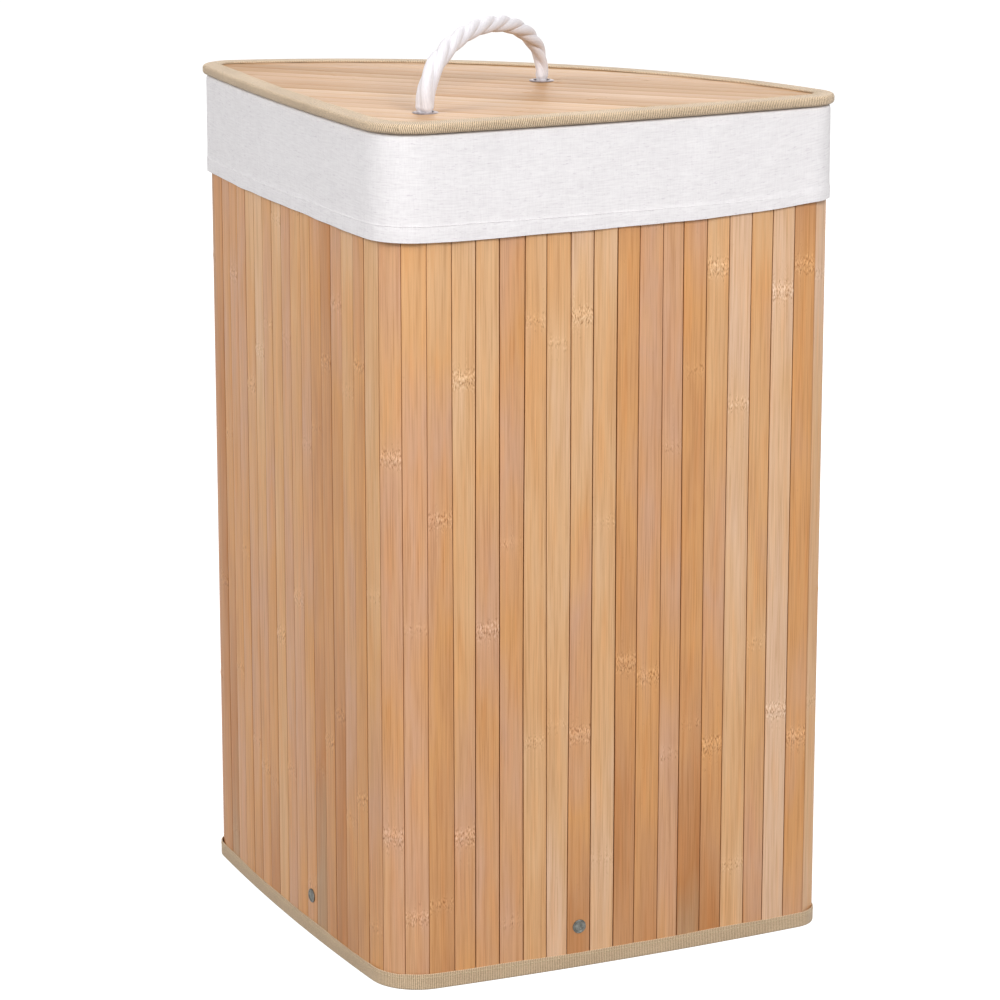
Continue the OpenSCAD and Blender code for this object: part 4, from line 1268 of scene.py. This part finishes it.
# %% Coiled strands
def strands(line, turns, coil, wide, tall, phase=0.0):
    """Three strands coiled round a line: middle + coil (cos a n + sin a b), with an oval section wide by tall."""
    count, sides = 3, 18
    tangent = np.gradient(line, axis=0)
    tangent /= np.linalg.norm(tangent, axis=1, keepdims=True)
    side = np.broadcast_to([1.0, 0, 0], tangent.shape)
    side = side - tangent * (side * tangent).sum(1, keepdims=True)
    side /= np.linalg.norm(side, axis=1, keepdims=True)
    third = np.cross(tangent, side)
    coil, wide, tall = (np.broadcast_to(v, len(line)) for v in (coil, wide, tall))
    grids, maps = [], []
    for k in range(count):
        a = turns + 2 * math.pi * k / count + phase
        outward = side * np.cos(a)[:, None] + third * np.sin(a)[:, None]
        path = line + outward * coil[:, None]
        along = np.gradient(path, axis=0)
        along /= np.linalg.norm(along, axis=1, keepdims=True)
        across = np.cross(along, outward)
        across /= np.linalg.norm(across, axis=1, keepdims=True)
        outward = np.cross(across, along)
        angle = np.linspace(0, 2 * math.pi, sides, endpoint=False)
        ring = (path[:, None] + outward[:, None] * (tall[:, None] * np.cos(angle))[..., None]
                + across[:, None] * (wide[:, None] * np.sin(angle))[..., None])
        run = path_length(path[None])[0]
        u = np.linspace(0, 2 * math.pi, sides + 1)[None] * wide[:, None]
        grids.append(ring)
        maps.append(np.stack([u + 0.05 * k, np.broadcast_to(run[:, None], u.shape)], -1))
    points, uv = np.array(grids), np.array(maps)
    return points, [quads(points, uv, close_columns=True)] + end_caps(points, uv), {}


# %% [markdown]
# The handle's middle line leaves the eyelets upright, with its feet in the lid, and closes in half an ellipse
# above a pivot height low in the arch. The piece rides on no body and is baked in place.

# %% Rope handle
pivot_height = 606.05 * MM
span, peak = eyelet_span / 2, 41.45 * MM
leg_bottom = float(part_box("rope_ends")[0][2])
leg = np.linspace(leg_bottom, pivot_height, 14, endpoint=False)
arch = np.linspace(0, math.pi, 260)
ahead = np.concatenate([0 * leg + span, span * np.cos(arch), 0 * leg - span])
above = np.concatenate([leg, pivot_height + peak * np.sin(arch), leg[::-1]])
line = handle_middle + ahead[:, None] * handle_way + above[:, None] * np.array([0, 0, 1.0])
distance = path_length(line[None])[0]
whole = distance[-1]
lay_length = 66 * MM
tightness = 0.35 + 0.65 * smooth_step(distance, 0.01, 0.06)
twist = -2 * math.pi / lay_length * np.cumsum(tightness * np.gradient(distance))
inside_eyelet = 1 - 0.2 * (1 - smooth_step(np.minimum(distance, whole - distance), 6.5 * MM, 9 * MM))
waist = 1.16 - 0.12 * smooth_step(distance / whole, 0.15, 0.45) - 0.22 * smooth_step(distance / whole, 0.8, 0.95)
size = waist * inside_eyelet
rope = make_piece("twisted_rope_handle",
                  [strands(line, twist, 2.15 * MM * size, 3.6 * MM * size, 3.55 * MM * size, phase=0.5)],
                  rope_cotton, None, 80)
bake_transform(rope)
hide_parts("rope_handle", "rope_ends")

# %% [markdown]
# Below the lid each end is tied in an overhand knot, which is the shortest closed knot: a trefoil. Its line winds
# twice round while it goes three times in and out and up and down. A frayed tail of three strands hangs from it.

# %% Stopper knots
knot_patches = []
turn = np.linspace(0, 2 * math.pi, 160, endpoint=False)
knot_height, tail_bottom = leg_bottom - 7 * MM, leg_bottom - 22 * MM
for x, y, _ in eyelet_origin:
    ring = (4.7 + 2.1 * np.cos(3 * turn)) * MM
    middle_line = np.stack([x + ring * np.cos(2 * turn), y + ring * np.sin(2 * turn),
                            knot_height + 3.6 * MM * np.sin(3 * turn)], 1)
    along = np.roll(middle_line, -1, 0) - np.roll(middle_line, 1, 0)
    along /= np.linalg.norm(along, axis=1, keepdims=True)
    out = middle_line - [x, y, knot_height]
    out -= along * (out * along).sum(1, keepdims=True)
    out /= np.linalg.norm(out, axis=1, keepdims=True)
    cross = np.cross(along, out)
    angle = np.linspace(0, 2 * math.pi, 20, endpoint=False)
    lobes = 3.05 * MM * (1 + 0.1 * np.abs(np.cos(1.5 * (angle[None, :] + 9 * turn[:, None]))) - 0.06)
    points = (middle_line[:, None] + out[:, None] * (lobes * np.cos(angle))[..., None]
              + cross[:, None] * (lobes * np.sin(angle))[..., None])
    length = path_length(middle_line[None])[0]
    length = np.append(length, length[-1] + 0.6 * MM)
    uv = np.stack(np.broadcast_arrays(np.linspace(0, 19 * MM, 21)[None], length[:, None]), -1)
    knot_patches.append((points[None], [quads(points[None], uv[None], True, True)], {}))
    tail = np.linspace(leg_bottom - 12.5 * MM, tail_bottom, 24)
    down = np.stack([0 * tail + x, 0 * tail + y, tail], 1)
    spread = smooth_step(leg_bottom - 14 * MM - tail, 0, 8 * MM)
    points, faces, _ = strands(down, -2 * math.pi * (tail[0] - tail) / (40 * MM), (2.0 + 0.45 * spread) * MM,
                               (2.6 + 0.1 * spread) * MM, (2.5 + 0.1 * spread) * MM)
    knot_patches.append((points, faces, {}))
piece = make_piece("rope_stopper_knots", knot_patches, rope_cotton, "lid", 80)
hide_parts("rope_knots")
print("rope between the knots is", round(whole / MM), "mm long")
